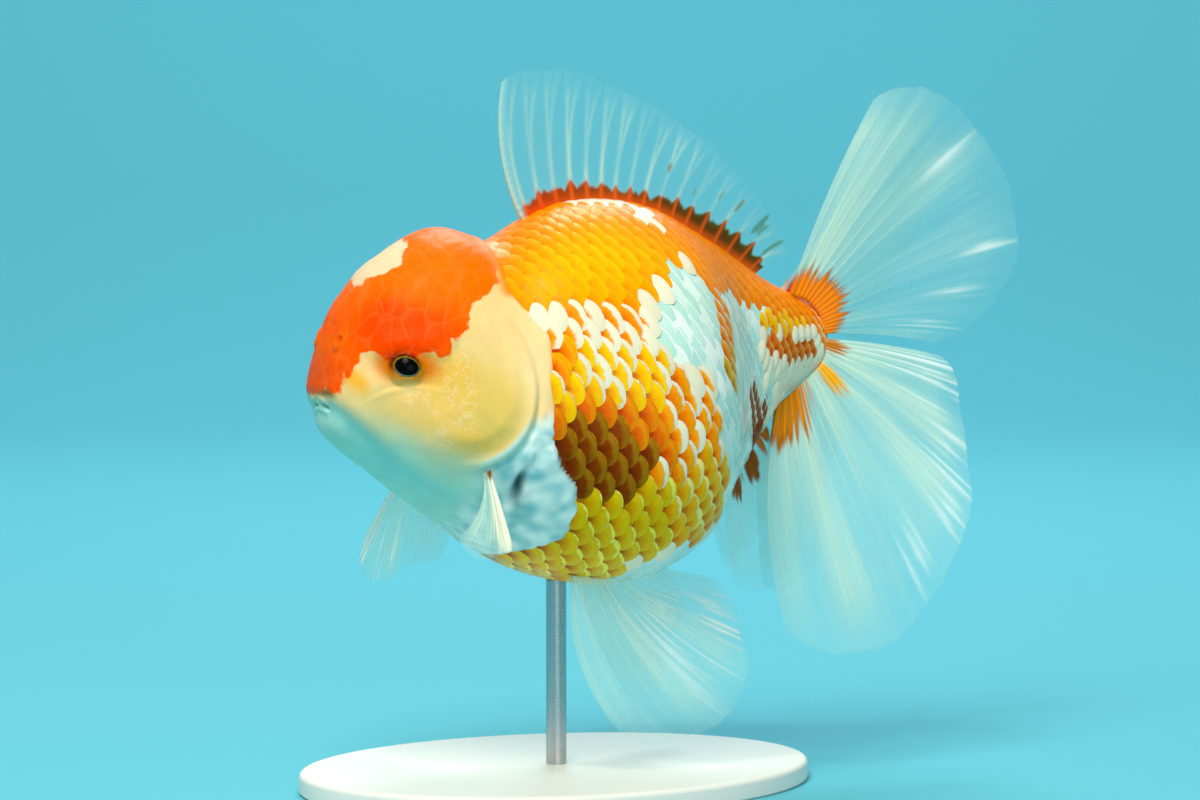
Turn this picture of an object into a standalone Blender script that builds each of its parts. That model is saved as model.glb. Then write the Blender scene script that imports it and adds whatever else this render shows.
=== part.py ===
"""A fancy goldfish as a still, life-size museum model on a plain display stand.

The fish swims with its head towards -X and its left side towards -Y, and the underside of the stand is z = 0.
The body is one lofted surface on a centre line that bends to the fish's right at the tail. It is parted into
head, trunk and tail stalk; the hood and the gill covers are slabs let into the head, the eyes are balls in
sockets, and every fin is a fan of curved rays, cut where it meets the body. Everything is in millimetres
until `add_mesh` turns it into metres.
"""

import bmesh
import bpy
import numpy as np

MM = 0.001
GAP = 0.3                 # air left between neighbouring pieces

# ---- the body ----------------------------------------------------------------------------------------------
# One row per station: how far behind the snout, height of the back, height of the keel, half width, height of
# the widest point.
STATIONS = np.array([
    [0.0, 76.5, 76.5, 0.0, 76.5],
    [0.4, 81.0, 74.0, 4.4, 77.0],
    [1.5, 87.0, 70.8, 8.2, 77.5],
    [4.6, 94.4, 67.5, 12.4, 78.5],
    [10.0, 101.6, 63.3, 16.0, 78.0],
    [18.0, 107.0, 57.4, 19.6, 76.5],
    [26.5, 109.2, 51.4, 22.4, 74.5],
    [34.6, 107.2, 45.8, 25.0, 72.5],
    [43.5, 111.8, 41.8, 27.6, 71.0],
    [53.0, 115.0, 39.6, 29.8, 69.5],
    [63.0, 115.0, 39.3, 30.6, 68.5],
    [71.0, 113.2, 42.0, 28.6, 68.5],
    [77.0, 110.4, 46.2, 23.4, 70.0],
    [82.5, 107.6, 51.4, 16.4, 73.0],
    [88.0, 104.6, 57.5, 11.4, 77.5],
    [94.0, 101.0, 65.5, 9.2, 82.0],
    [101.0, 97.4, 73.8, 7.4, 85.0],
    [111.0, 93.6, 77.4, 5.6, 85.5],
])
HEAD_END = 38.2           # behind the snout
TRUNK_END = 92.0
BODY_END = STATIONS[-1, 0]
END_DOME = 2.4            # how far the rounded end of the stalk stands out
OVER_ORIGIN = 50.0        # the station above the middle of the stand
BEND = np.radians(17.0)   # turn of the tail to the fish's right
BEND_FROM, BEND_TO = 55.0, 113.0
# Fullness of the sections, as the power of the sine that gives the half width: 1 is an ellipse, more is a ridge.
RIDGE = (0.28, 38, 52)            # added along the back, growing between these stations
STALK_ROUND = (0.05, 95, 112)     # taken away again along the stalk
BELLY_POWER = 0.96
# Sideways swellings: behind the snout, height, reach along, reach up and down, how far they stand out
SWELLINGS = ((16.5, 68.5, 8.0, 8.0, 2.0),      # cheek
             (31.0, 72.0, 10.0, 14.0, 3.0))    # gill cover
ROUND = 26                # points round a body ring
HEAD_EXTRA_RINGS = [0.15, 0.9, 2.8, 7.0, 14.0, 22.0, 30.5]

# ---- pieces let into the head: middle station, middle angle from the top, half length, half angle --------
HOOD = (14.2, 0.0, 12.6, 58.0)
GILL_COVER = (26.0, 84.0, 8.7, 28.0)
SLAB = 1.5                # thickness of the hood and the gill covers
EYE_AT = (11.7, 76.0)     # station, angle from the top
EYE_RADIUS = 4.6
EYE_DEPTH = 3.5           # centre of the ball under the skin
MOUTH = (2.2, 3.4, 0.55)  # half depth, half width, half height of the slit
MOUTH_HEIGHT = 76.2

# ---- the fins: one row per guide ray ------------------------------------------------------------------------
# place across the fan, root behind the snout, root left of the middle, root height, lean (0 up, 90 back,
# 180 down), its turn along the ray, splay to the side, its turn, length
FIN_THICK = 0.7
DORSAL = [
    [0.00, 43.0, 0, 110.3, -29, 38, 0, 0, 30.5],
    [0.12, 49.0, 0, 112.6, -16, 24, 0, 0, 28.5],
    [0.25, 56.0, 0, 114.0, -6, 18, 0, 0, 26.0],
    [0.40, 63.5, 0, 113.8, 4, 18, 0, 0, 22.0],
    [0.55, 71.5, 0, 112.0, 14, 20, 0, 0, 19.0],
    [0.70, 79.5, 0, 108.2, 24, 22, 0, 0, 17.0],
    [0.85, 88.0, 0, 103.4, 34, 22, 0, 0, 15.0],
    [1.00, 95.5, 0, 99.4, 58, 24, 0, 0, 11.5],
]
PECTORAL_LEFT = [
    [0.00, 26.6, 21.3, 64.0, 172, -6, 20, -6, 15.5],
    [0.35, 26.2, 21.2, 64.0, 172, 8, 17, -8, 16.5],
    [0.70, 25.8, 21.0, 63.9, 173, 38, 14, -8, 17.0],
    [1.00, 25.4, 20.8, 63.8, 174, 64, 12, -8, 15.0],
]
PECTORAL_RIGHT = [
    [0.00, 29.6, 22.0, 63.4, 208, -22, 40, -4, 27.5],
    [0.35, 30.0, 22.2, 63.1, 189, -10, 33, -6, 30.5],
    [0.60, 30.4, 22.4, 62.8, 178, -6, 27, -6, 24.5],
    [0.80, 30.8, 22.5, 62.6, 168, -6, 20, -5, 22.5],
    [1.00, 31.2, 22.6, 62.4, 156, -6, 14, -4, 17.5],
]
PELVIC_LEFT = [
    [0.00, 48.6, 10.5, 42.2, 194, -56, 10, -4, 36.0],
    [0.20, 51.6, 11.0, 41.8, 172, -36, 14, -4, 38.0],
    [0.40, 54.6, 11.2, 41.6, 153, -22, 16, -2, 36.0],
    [0.60, 58.2, 11.2, 41.6, 138, -16, 16, 0, 31.0],
    [0.80, 62.2, 10.4, 42.0, 124, -12, 14, 0, 23.0],
    [1.00, 66.4, 9.0, 43.4, 108, -8, 10, 0, 13.0],
]
PELVIC_RIGHT = [
    [0.00, 58.5, 10.5, 42.0, 163, -16, 2, -4, 31.0],
    [0.20, 60.0, 11.0, 41.8, 150, -12, 5, -4, 34.0],
    [0.40, 61.6, 11.2, 41.6, 138, -10, 8, -2, 33.0],
    [0.60, 63.2, 11.2, 41.6, 126, -8, 10, 0, 30.0],
    [0.80, 64.6, 10.6, 41.6, 114, -8, 10, 0, 26.0],
    [1.00, 66.0, 9.6, 42.0, 104, -8, 8, 0, 20.0],
]
ANAL_LEFT = [
    [0.00, 86.5, 2.6, 58.6, 182, -8, 4, 2, 21.5],
    [0.33, 89.0, 2.6, 62.0, 168, -8, 7, 2, 27.0],
    [0.66, 91.8, 2.4, 66.0, 155, -6, 8, 2, 24.0],
    [1.00, 95.0, 2.2, 71.0, 140, -6, 9, 2, 15.0],
]
ANAL_RIGHT = [
    [0.00, 85.5, 2.6, 58.2, 170, -8, -2, 2, 19.0],
    [0.33, 88.5, 2.8, 62.0, 158, -8, 0, 2, 21.0],
    [0.66, 91.5, 2.8, 66.0, 148, -6, 2, 2, 18.5],
    [1.00, 95.0, 2.6, 71.0, 138, -6, 3, 2, 13.0],
]
TAIL_UPPER_LEFT = [
    [0.0, 104.0, 1.6, 95.0, 21, 13, 3, 0, 47.5],
    [0.2, 106.5, 2.6, 94.4, 33, 10, 8, 2, 54.0],
    [0.4, 108.5, 3.4, 93.0, 46, 10, 13, 4, 53.5],
    [0.6, 109.8, 4.2, 91.0, 60, 14, 18, 4, 48.0],
    [0.8, 110.4, 4.6, 89.0, 74, 16, 22, 4, 38.5],
    [1.0, 110.6, 4.6, 87.2, 88, 16, 24, 4, 27.0],
]
TAIL_UPPER_RIGHT = [
    [0.0, 104.0, 1.6, 95.0, 47, 0, 0, 0, 60.0],
    [0.2, 106.5, 2.6, 94.4, 53, 4, 3, 2, 64.0],
    [0.4, 108.5, 3.4, 93.0, 60, 8, 7, 4, 62.0],
    [0.6, 109.8, 4.2, 91.0, 68, 10, 11, 4, 56.0],
    [0.8, 110.4, 4.6, 89.0, 78, 12, 15, 4, 48.0],
    [1.0, 110.6, 4.6, 87.2, 90, 14, 18, 4, 38.0],
]
TAIL_LOWER_LEFT = [
    [0.00, 110.6, 4.8, 86.2, 94, 12, 26, 4, 26.0],
    [0.15, 110.6, 5.0, 84.6, 106, 12, 28, 4, 30.5],
    [0.30, 110.2, 5.2, 82.8, 124, 12, 28, 4, 36.5],
    [0.50, 108.6, 5.2, 80.6, 146, 8, 26, 2, 46.0],
    [0.75, 104.6, 4.8, 77.6, 173, -4, 20, 0, 55.5],
    [1.00, 98.0, 4.2, 73.0, 204, -34, 12, 0, 50.5],
]
TAIL_LOWER_RIGHT = [
    [0.00, 110.6, 4.8, 86.2, 92, 12, 20, 4, 30.0],
    [0.15, 110.6, 5.0, 84.6, 101, 14, 22, 4, 38.0],
    [0.30, 110.2, 5.2, 82.8, 116, 14, 22, 4, 42.0],
    [0.50, 109.0, 5.2, 80.8, 134, 10, 18, 2, 46.0],
    [0.75, 106.4, 4.8, 78.6, 158, 0, 14, 0, 50.0],
    [1.00, 102.4, 4.0, 75.6, 184, -22, 8, 0, 42.0],
]
# node name, rows, side (1 left, -1 right), pleat height, pleats across the fan, their shift, cells across,
# cells along
FINS = [
    ("dorsal_fin", DORSAL, 1, 0.8, 1.5, 0.1, 16, 6),
    ("pectoral_fin_left", PECTORAL_LEFT, 1, 0.5, 2.0, 0.0, 8, 5),
    ("pectoral_fin_right", PECTORAL_RIGHT, -1, 0.5, 2.0, 0.0, 8, 5),
    ("pelvic_fin_left", PELVIC_LEFT, 1, 1.0, 2.0, 0.2, 14, 7),
    ("pelvic_fin_right", PELVIC_RIGHT, -1, 1.0, 2.0, 0.2, 14, 7),
    ("anal_fin_left", ANAL_LEFT, 1, 0.5, 1.5, 0.0, 8, 5),
    ("anal_fin_right", ANAL_RIGHT, -1, 0.5, 1.5, 0.0, 8, 5),
    ("tail_fin_left_upper", TAIL_UPPER_LEFT, 1, 1.2, 1.6, 0.1, 14, 7),
    ("tail_fin_left_lower", TAIL_LOWER_LEFT, 1, 1.4, 2.2, 0.3, 14, 7),
    ("tail_fin_right_upper", TAIL_UPPER_RIGHT, -1, 1.2, 1.6, 0.1, 14, 7),
    ("tail_fin_right_lower", TAIL_LOWER_RIGHT, -1, 1.4, 2.2, 0.3, 14, 7),
]
PLEAT_POWER = 1.6         # pleats grow towards the margin

# ---- the stand ----------------------------------------------------------------------------------------------
BASE_LENGTH, BASE_WIDTH, BASE_THICK = 104.0, 78.0, 4.0
BASE_EDGE = 1.0           # radius of the rounded upper edge
BASE_CHAMFER = 0.4        # of the lower edge
ROD_RADIUS = 2.0
ROD_SEAT = 2.0            # how deep the rod stands in the base
ROD_TOP = 46.0            # before it is cut to the belly

# base colour (sRGB hex), roughness, metallic
LOOKS = {
    "red_orange": ("F0561A", 0.35, 0.0),
    "cream": ("EBD98A", 0.35, 0.0),
    "orange": ("F08A1E", 0.35, 0.0),
    "fin": ("DDEEE8", 0.40, 0.0),
    "eye": ("15120E", 0.08, 0.0),
    "stand_paint": ("E9E8E2", 0.50, 0.0),
    "steel": ("A9ABAD", 0.30, 1.0),
}


def spline(x, y, at):
    """Natural cubic spline through (x, y), read at `at`."""
    x, y, at = (np.asarray(v, float) for v in (x, y, at))
    n, h = len(x), np.diff(x)
    m, r = np.zeros((n, n)), np.zeros(n)
    m[0, 0] = m[-1, -1] = 1
    i = np.arange(1, n - 1)
    m[i, i - 1], m[i, i], m[i, i + 1] = h[:-1], 2 * (h[:-1] + h[1:]), h[1:]
    r[1:-1] = 6 * ((y[2:] - y[1:-1]) / h[1:] - (y[1:-1] - y[:-2]) / h[:-1])
    c = np.linalg.solve(m, r)
    k = np.clip(np.searchsorted(x, at) - 1, 0, n - 2)
    d0, d1 = at - x[k], x[k + 1] - at
    return ((c[k] * d1 ** 3 + c[k + 1] * d0 ** 3) / (6 * h[k])
            + (y[k] / h[k] - c[k] * h[k] / 6) * d1 + (y[k + 1] / h[k] - c[k + 1] * h[k] / 6) * d0)


def smooth(x, lo, hi):
    t = np.clip((x - lo) / (hi - lo), 0, 1)
    return t * t * (3 - 2 * t)


STEPS = np.sqrt(np.linalg.norm(np.diff(STATIONS[:, :4], axis=0), axis=1))
KNOTS = np.concatenate([[0], np.cumsum(STEPS)]) / STEPS.sum()
FINE = np.linspace(0, 1, 2001)
FINE_BEHIND = spline(KNOTS, STATIONS[:, 0], FINE)
LINE = np.linspace(0, 260, 2601)                                  # the centre line, 0.1 mm apart
LINE_TURN = -BEND * smooth(LINE, BEND_FROM, BEND_TO)
LINE_ALONG = np.concatenate([[0], np.cumsum(np.cos(LINE_TURN[:-1]))]) * LINE[1]
LINE_SIDE = np.concatenate([[0], np.cumsum(np.sin(LINE_TURN[:-1]))]) * LINE[1]


def u_at(behind):
    return np.interp(behind, FINE_BEHIND, FINE)


def placed(behind, left, z):
    """Body coordinates (behind the snout, left of the centre line, height) to the row's frame."""
    along, side, turn = (np.interp(behind, LINE, v) for v in (LINE_ALONG, LINE_SIDE, LINE_TURN))
    return np.stack([along - np.sin(turn) * left - OVER_ORIGIN, -(side + np.cos(turn) * left),
                     np.broadcast_to(z, np.shape(left))], -1)


def body(u, angle):
    """The body surface: ring parameter u, angle from the top over the left side."""
    behind, back, keel, wide, mid = (spline(KNOTS, STATIONS[:, c], u) for c in range(5))
    s, c = np.sin(angle), np.cos(angle)
    narrow = RIDGE[0] * smooth(behind, *RIDGE[1:]) - STALK_ROUND[0] * smooth(behind, *STALK_ROUND[1:])
    power = np.where(c > 0, 1 + narrow * np.sqrt(np.clip(c, 0, 1)), BELLY_POWER)
    left = wide * np.sign(s) * np.abs(s) ** power
    z = mid + np.where(c > 0, back - mid, mid - keel) * c
    for a0, z0, reach, high, out in SWELLINGS:
        left = left + (np.sign(s) * np.sqrt(np.abs(s)) * out
                       * np.exp(-((behind - a0) / reach) ** 2 - ((z - z0) / high) ** 2))
    return placed(behind, left, z)


def skin(behind, angle, out=0.0):
    """Points of the body surface at a station and an angle, moved `out` along the outward normal."""
    u = u_at(behind)
    here = body(u, angle)
    du = body(u + 1e-4, angle) - body(u - 1e-4, angle)
    da = body(u, angle + 1e-3) - body(u, angle - 1e-3)
    n = np.cross(du, da)
    n = n / np.linalg.norm(n, axis=-1, keepdims=True)
    outward = np.sign((n * (here - body(u, angle + np.pi))).sum(-1, keepdims=True))
    return here + n * outward * out


def add_mesh(name, points, faces, look=None):
    """A closed mesh as an object placed at its own middle. Without a look it is a cutter, not rendered."""
    points = np.asarray(points) * MM
    middle = points.mean(axis=0)
    bm = bmesh.new()
    corners = [bm.verts.new(p) for p in points - middle]
    for face in faces:
        bm.faces.new([corners[i] for i in face])
    bmesh.ops.recalc_face_normals(bm, faces=bm.faces)
    mesh = bpy.data.meshes.new(name)
    bm.to_mesh(mesh)
    bm.free()
    mesh.shade_smooth()
    mesh.set_sharp_from_angle(angle=np.radians(40))
    obj = bpy.data.objects.new(name, mesh)
    obj.location = middle
    bpy.context.scene.collection.objects.link(obj)
    if look is None:
        obj.hide_render = True
        obj.display_type = "WIRE"
    else:
        mesh.materials.append(look_of(name, look))
    return obj


def look_of(name, look):
    hexa, rough, metal = LOOKS[look]
    value = np.array([int(hexa[i:i + 2], 16) for i in (0, 2, 4)]) / 255
    linear = np.where(value <= 0.04045, value / 12.92, ((value + 0.055) / 1.055) ** 2.4)
    material = bpy.data.materials.new(name)
    material.use_nodes = True
    shader = material.node_tree.nodes["Principled BSDF"]
    shader.inputs["Base Color"].default_value = (*linear, 1)
    shader.inputs["Roughness"].default_value = rough
    shader.inputs["Metallic"].default_value = metal
    return material


def cut(obj, *cutters):
    for cutter in cutters:
        modifier = obj.modifiers.new(cutter.name, "BOOLEAN")
        modifier.operation, modifier.solver, modifier.object = "DIFFERENCE", "EXACT", cutter


def tube(rings, first_pole=None, last_pole=None):
    """Points and faces of a closed surface through rings (n, m, 3). Each end closes to a pole, by default the
    middle of its ring, which makes it flat."""
    n, m = rings.shape[:2]
    poles = [rings[0].mean(axis=0) if first_pole is None else first_pole,
             rings[-1].mean(axis=0) if last_pole is None else last_pole]
    at = np.arange(n * m).reshape(n, m)
    nxt = np.roll(at, -1, axis=1)
    faces = np.stack([at[:-1], at[1:], nxt[1:], nxt[:-1]], -1).reshape(-1, 4).tolist()
    for ring, following, pole in ((at[0], nxt[0], n * m), (nxt[-1], at[-1], n * m + 1)):
        faces += [[pole, a, b] for a, b in zip(ring.tolist(), following.tolist())]
    return np.concatenate([rings.reshape(-1, 3), poles]), faces


def body_rings(stations, out=0.0):
    angle = np.linspace(0, 2 * np.pi, ROUND, endpoint=False)
    a, th = np.meshgrid(stations, angle, indexing="ij")
    return skin(a, th, out)


def end_dome(out):
    """Rings that round off the end of the stalk, and its pole."""
    last = body_rings([BODY_END], out)[0]
    middle = last.mean(0)
    back = placed(BODY_END + 1.0, 0.0, 0.0) - placed(BODY_END, 0.0, 0.0)
    turns = np.radians([35, 65])
    rings = [middle + (last - middle) * np.cos(t) + back * (END_DOME + out) * np.sin(t) for t in turns]
    return np.array(rings), middle + back * (END_DOME + out)


def slab(name, at, look):
    """A slab let into the head: a superellipse on the skin in (station, angle), outer face on the skin.
    Without a look it is the slot for it: wider by the gap, deeper by the gap, and open outward."""
    behind0, angle0, reach, spread = at
    slot = look is None
    r, t = np.meshgrid([0.35, 0.7, 1.0], np.linspace(0, 2 * np.pi, 22, endpoint=False), indexing="ij")
    grow_a = GAP if slot else 0.0
    grow_t = np.degrees(GAP / 20.0) if slot else 0.0
    a = behind0 + (reach + grow_a) * r * np.cos(t)
    th = np.radians(angle0 + (spread + grow_t) * r * np.sin(t))
    middle = np.array(behind0), np.array(np.radians(angle0))
    top_out, bottom = (2.0, -SLAB - GAP) if slot else (0.0, -SLAB)
    top, low = skin(a, th, top_out), skin(a, th, bottom)
    rings = np.concatenate([top, low[::-1]])
    return add_mesh(name, *tube(rings, skin(*middle, top_out), skin(*middle, bottom)), look)


def ball(name, centre, radii, look=None, rows=8, columns=16):
    polar = np.linspace(0, np.pi, rows + 2)[1:-1]
    turn = np.linspace(0, 2 * np.pi, columns, endpoint=False)
    p, t = np.meshgrid(polar, turn, indexing="ij")
    rings = np.stack([np.sin(p) * np.cos(t), np.sin(p) * np.sin(t), np.cos(p)], -1) * radii + centre
    tips = np.array([[0, 0, 1.0], [0, 0, -1.0]]) * radii + centre
    return add_mesh(name, *tube(rings, *tips), look)


def fin_sheet(rows, side, pleat, count, shift, across, along):
    """The middle sheet of a fin: every ray is an arc that turns steadily in lean and in splay."""
    rows = np.array(rows, float)
    t = np.linspace(0, 1, across + 1)
    s = np.linspace(0, 1, 8 * along + 1)
    _, behind, left, z, lean, curl, splay, flare, length = (spline(rows[:, 0], c, t)[:, None] for c in rows.T)
    turn, open_ = np.radians(lean + curl * s), np.radians(splay + flare * s)
    way = np.stack([np.sin(turn) * np.cos(open_), np.sin(open_), np.cos(turn) * np.cos(open_)])
    middle = (way[..., 1:] + way[..., :-1]) / 2 * np.diff(s) * length
    a, l, z = np.concatenate([np.zeros_like(way[..., :1]), np.cumsum(middle, -1)], -1) + np.stack(
        [behind, left, z])
    l = l + pleat * s ** PLEAT_POWER * np.sin(2 * np.pi * (count * t[:, None] + shift))
    return placed(a, side * l, z)[:, ::8]


def fin_shell(sheet):
    """Points and faces of the sheet given its thickness: two faces and a rim."""
    da, db = np.gradient(sheet, axis=0), np.gradient(sheet, axis=1)
    n = np.cross(da, db)
    n = n / np.linalg.norm(n, axis=-1, keepdims=True) * FIN_THICK / 2
    m, k = sheet.shape[:2]
    front = np.arange(m * k).reshape(m, k)
    rear = front + m * k
    cells = np.stack([front[:-1, :-1], front[1:, :-1], front[1:, 1:], front[:-1, 1:]], -1).reshape(-1, 4)
    edge = np.concatenate([front[0, :-1], front[:-1, -1], front[-1, :0:-1], front[:0:-1, 0]])
    nxt = np.roll(edge, -1)
    rim = np.stack([edge, nxt, nxt + m * k, edge + m * k], -1)
    return (np.concatenate([(sheet + n).reshape(-1, 3), (sheet - n).reshape(-1, 3)]),
            cells.tolist() + (cells[:, ::-1] + m * k).tolist() + rim.tolist())


def post(name, radius, low, high, look=None):
    """An upright cylinder over the origin."""
    turn = np.linspace(0, 2 * np.pi, 24, endpoint=False)
    rings = np.stack([np.column_stack([np.cos(turn) * radius, np.sin(turn) * radius, np.full(len(turn), z)])
                      for z in (low, high)])
    return add_mesh(name, *tube(rings), look)


def clear_scene():
    for obj in list(bpy.data.objects):
        bpy.data.objects.remove(obj, do_unlink=True)


def make_flesh():
    """Head, trunk and tail stalk, each closed flat where it meets the next.
    Returns the head, and the whole body grown by the gap, which cuts whatever stands on it."""
    listed = STATIONS[1:-1, 0]
    head_at = np.unique(np.concatenate([listed[listed < HEAD_END - 2], HEAD_EXTRA_RINGS, [HEAD_END]]))
    trunk_at = np.linspace(HEAD_END + GAP, TRUNK_END, 13)
    stalk_at = np.linspace(TRUNK_END + GAP, BODY_END, 6)
    snout = placed(STATIONS[0, 0], np.array(0.0), STATIONS[0, 1])
    head = add_mesh("head", *tube(body_rings(head_at), snout), "cream")
    add_mesh("trunk", *tube(body_rings(trunk_at)), "orange")
    dome, pole = end_dome(0.0)
    add_mesh("tail_stalk", *tube(np.concatenate([body_rings(stalk_at), dome]), None, pole), "orange")

    dome, pole = end_dome(GAP)
    rings = body_rings(np.concatenate([head_at, trunk_at, stalk_at]), GAP)
    grown = add_mesh("grown_body", *tube(np.concatenate([rings, dome]), snout - np.array([GAP, 0, 0]), pole))
    return head, grown


def furnish_head(head):
    """Hood, gill covers, eyes and mouth."""
    cut(head, slab("hood_slot", HOOD, None))
    slab("hood", HOOD, "red_orange")
    for name, sign in (("left", 1), ("right", -1)):
        at = (GILL_COVER[0], sign * GILL_COVER[1], *GILL_COVER[2:])
        cut(head, slab("gill_slot_" + name, at, None))
        slab("gill_cover_" + name, at, "cream")
        centre = skin(np.array(EYE_AT[0]), np.array(np.radians(sign * EYE_AT[1])), -EYE_DEPTH)
        cut(head, ball("socket_" + name, centre, EYE_RADIUS + GAP))
        ball("eye_" + name, centre, EYE_RADIUS, "eye")
    snout = placed(STATIONS[0, 0], np.array(0.0), MOUTH_HEIGHT)
    cut(head, ball("mouth_slit", snout, np.array(MOUTH), rows=5, columns=12))


def make_fins(grown):
    for name, rows, side, *shape in FINS:
        fin = add_mesh(name, *fin_shell(fin_sheet(rows, side, *shape)), "fin")
        cut(fin, grown)


def make_stand(grown):
    """An oval plate with a rounded edge, and a rod that stands in it and is cut to the belly."""
    turn = np.linspace(0, 2 * np.pi, 36, endpoint=False)
    way = np.column_stack([np.cos(turn), np.sin(turn)])
    rounding = [(BASE_EDGE * (1 - np.cos(q)), BASE_THICK - BASE_EDGE * (1 - np.sin(q)))
                for q in np.radians([0, 30, 60, 90])]
    rings = np.array([np.column_stack([way * (np.array([BASE_LENGTH, BASE_WIDTH]) / 2 - inset),
                                       np.full(len(turn), z)])
                      for inset, z in [(BASE_CHAMFER, 0.0), (0.0, BASE_CHAMFER)] + rounding])
    base = add_mesh("stand_base", *tube(rings), "stand_paint")
    foot = BASE_THICK - ROD_SEAT
    cut(base, post("rod_hole", ROD_RADIUS + GAP, foot - GAP, BASE_THICK + 2))
    rod = post("stand_rod", ROD_RADIUS, foot, ROD_TOP, "steel")
    cut(rod, grown)


clear_scene()
head_piece, grown_body = make_flesh()
furnish_head(head_piece)
make_fins(grown_body)
make_stand(grown_body)
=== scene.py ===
"""The looks of the fancy goldfish museum model: its skin, scales, eyes and fins, and its display stand.

The fish swims with its head towards -X and its left side towards -Y; the stand's underside is z = 0. Shapes
are worked out in millimetres, in the body's own coordinates: how far behind the snout, the angle round the body
from the top over the left side, and how far out from the body surface. `make_piece` turns them into metres.
The body and the fins repeat the tables of the solids, so that each skin lies on its solid.
"""

from functools import cache, partial

import bpy
import numpy as np
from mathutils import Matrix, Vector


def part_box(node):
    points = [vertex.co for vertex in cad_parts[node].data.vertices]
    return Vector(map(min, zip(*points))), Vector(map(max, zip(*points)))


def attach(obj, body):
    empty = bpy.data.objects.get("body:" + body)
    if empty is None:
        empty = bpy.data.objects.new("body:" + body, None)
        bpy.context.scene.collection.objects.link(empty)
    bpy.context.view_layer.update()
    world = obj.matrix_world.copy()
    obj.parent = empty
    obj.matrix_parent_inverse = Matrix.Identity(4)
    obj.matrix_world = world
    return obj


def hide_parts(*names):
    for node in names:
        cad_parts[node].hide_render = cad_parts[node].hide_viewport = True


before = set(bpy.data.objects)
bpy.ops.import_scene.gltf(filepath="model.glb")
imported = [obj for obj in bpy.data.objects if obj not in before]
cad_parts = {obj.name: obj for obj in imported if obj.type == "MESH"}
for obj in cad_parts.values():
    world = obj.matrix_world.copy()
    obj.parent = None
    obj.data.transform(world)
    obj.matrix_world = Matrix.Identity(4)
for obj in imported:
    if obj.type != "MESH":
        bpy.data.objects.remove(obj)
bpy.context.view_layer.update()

MM = 0.001
rng = np.random.default_rng(7)

# ---- the body, as in the solids -----------------------------------------------------------------------------
# behind the snout, height of the back, height of the keel, half width, height of the widest point
STATIONS = np.array([
    [0, 76.5, 76.5, 0, 76.5],
    [0.4, 81, 74, 4.4, 77],
    [1.5, 87, 70.8, 8.2, 77.5],
    [4.6, 94.4, 67.5, 12.4, 78.5],
    [10, 101.6, 63.3, 16, 78],
    [18, 107, 57.4, 19.6, 76.5],
    [26.5, 109.2, 51.4, 22.4, 74.5],
    [34.6, 107.2, 45.8, 25, 72.5],
    [43.5, 111.8, 41.8, 27.6, 71],
    [53, 115, 39.6, 29.8, 69.5],
    [63, 115, 39.3, 30.6, 68.5],
    [71, 113.2, 42, 28.6, 68.5],
    [77, 110.4, 46.2, 23.4, 70],
    [82.5, 107.6, 51.4, 16.4, 73],
    [88, 104.6, 57.5, 11.4, 77.5],
    [94, 101, 65.5, 9.2, 82],
    [101, 97.4, 73.8, 7.4, 85],
    [111, 93.6, 77.4, 5.6, 85.5],
])
BODY_END = STATIONS[-1, 0]
END_DOME = 2.4
OVER_ORIGIN = 50
BEND = np.radians(17)
BEND_FROM, BEND_TO = 55, 113
RIDGE = (0.28, 38, 52)
STALK_ROUND = (0.05, 95, 112)
BELLY_POWER = 0.96
SWELLINGS = ((16.5, 68.5, 8, 8, 2),      # cheek
             (31, 72, 10, 14, 3))    # gill cover
EYE_AT = (11.7, np.radians(76))              # station, angle
EYE_RADIUS = 4.6
EYE_DEPTH = 3.5

# ---- the fins, as in the solids: place across the fan, root behind the snout, root left of the middle, root
# height, lean (0 up, 90 back, 180 down), its turn along the ray, splay to the side, its turn, length
DORSAL = [
    [0, 43, 0, 110.3, -29, 38, 0, 0, 30.5],
    [0.12, 49, 0, 112.6, -16, 24, 0, 0, 28.5],
    [0.25, 56, 0, 114, -6, 18, 0, 0, 26],
    [0.4, 63.5, 0, 113.8, 4, 18, 0, 0, 22],
    [0.55, 71.5, 0, 112, 14, 20, 0, 0, 19],
    [0.7, 79.5, 0, 108.2, 24, 22, 0, 0, 17],
    [0.85, 88, 0, 103.4, 34, 22, 0, 0, 15],
    [1, 95.5, 0, 99.4, 58, 24, 0, 0, 11.5],
]
PECTORAL_LEFT = [
    [0, 26.6, 21.3, 64, 172, -6, 20, -6, 15.5],
    [0.35, 26.2, 21.2, 64, 172, 8, 17, -8, 16.5],
    [0.7, 25.8, 21, 63.9, 173, 38, 14, -8, 17],
    [1, 25.4, 20.8, 63.8, 174, 64, 12, -8, 15],
]
PECTORAL_RIGHT = [
    [0, 29.6, 22, 63.4, 208, -22, 40, -4, 27.5],
    [0.35, 30, 22.2, 63.1, 189, -10, 33, -6, 30.5],
    [0.6, 30.4, 22.4, 62.8, 178, -6, 27, -6, 24.5],
    [0.8, 30.8, 22.5, 62.6, 168, -6, 20, -5, 22.5],
    [1, 31.2, 22.6, 62.4, 156, -6, 14, -4, 17.5],
]
PELVIC_LEFT = [
    [0, 48.6, 10.5, 42.2, 194, -56, 10, -4, 36],
    [0.2, 51.6, 11, 41.8, 172, -36, 14, -4, 38],
    [0.4, 54.6, 11.2, 41.6, 153, -22, 16, -2, 36],
    [0.6, 58.2, 11.2, 41.6, 138, -16, 16, 0, 31],
    [0.8, 62.2, 10.4, 42, 124, -12, 14, 0, 23],
    [1, 66.4, 9, 43.4, 108, -8, 10, 0, 13],
]
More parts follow.
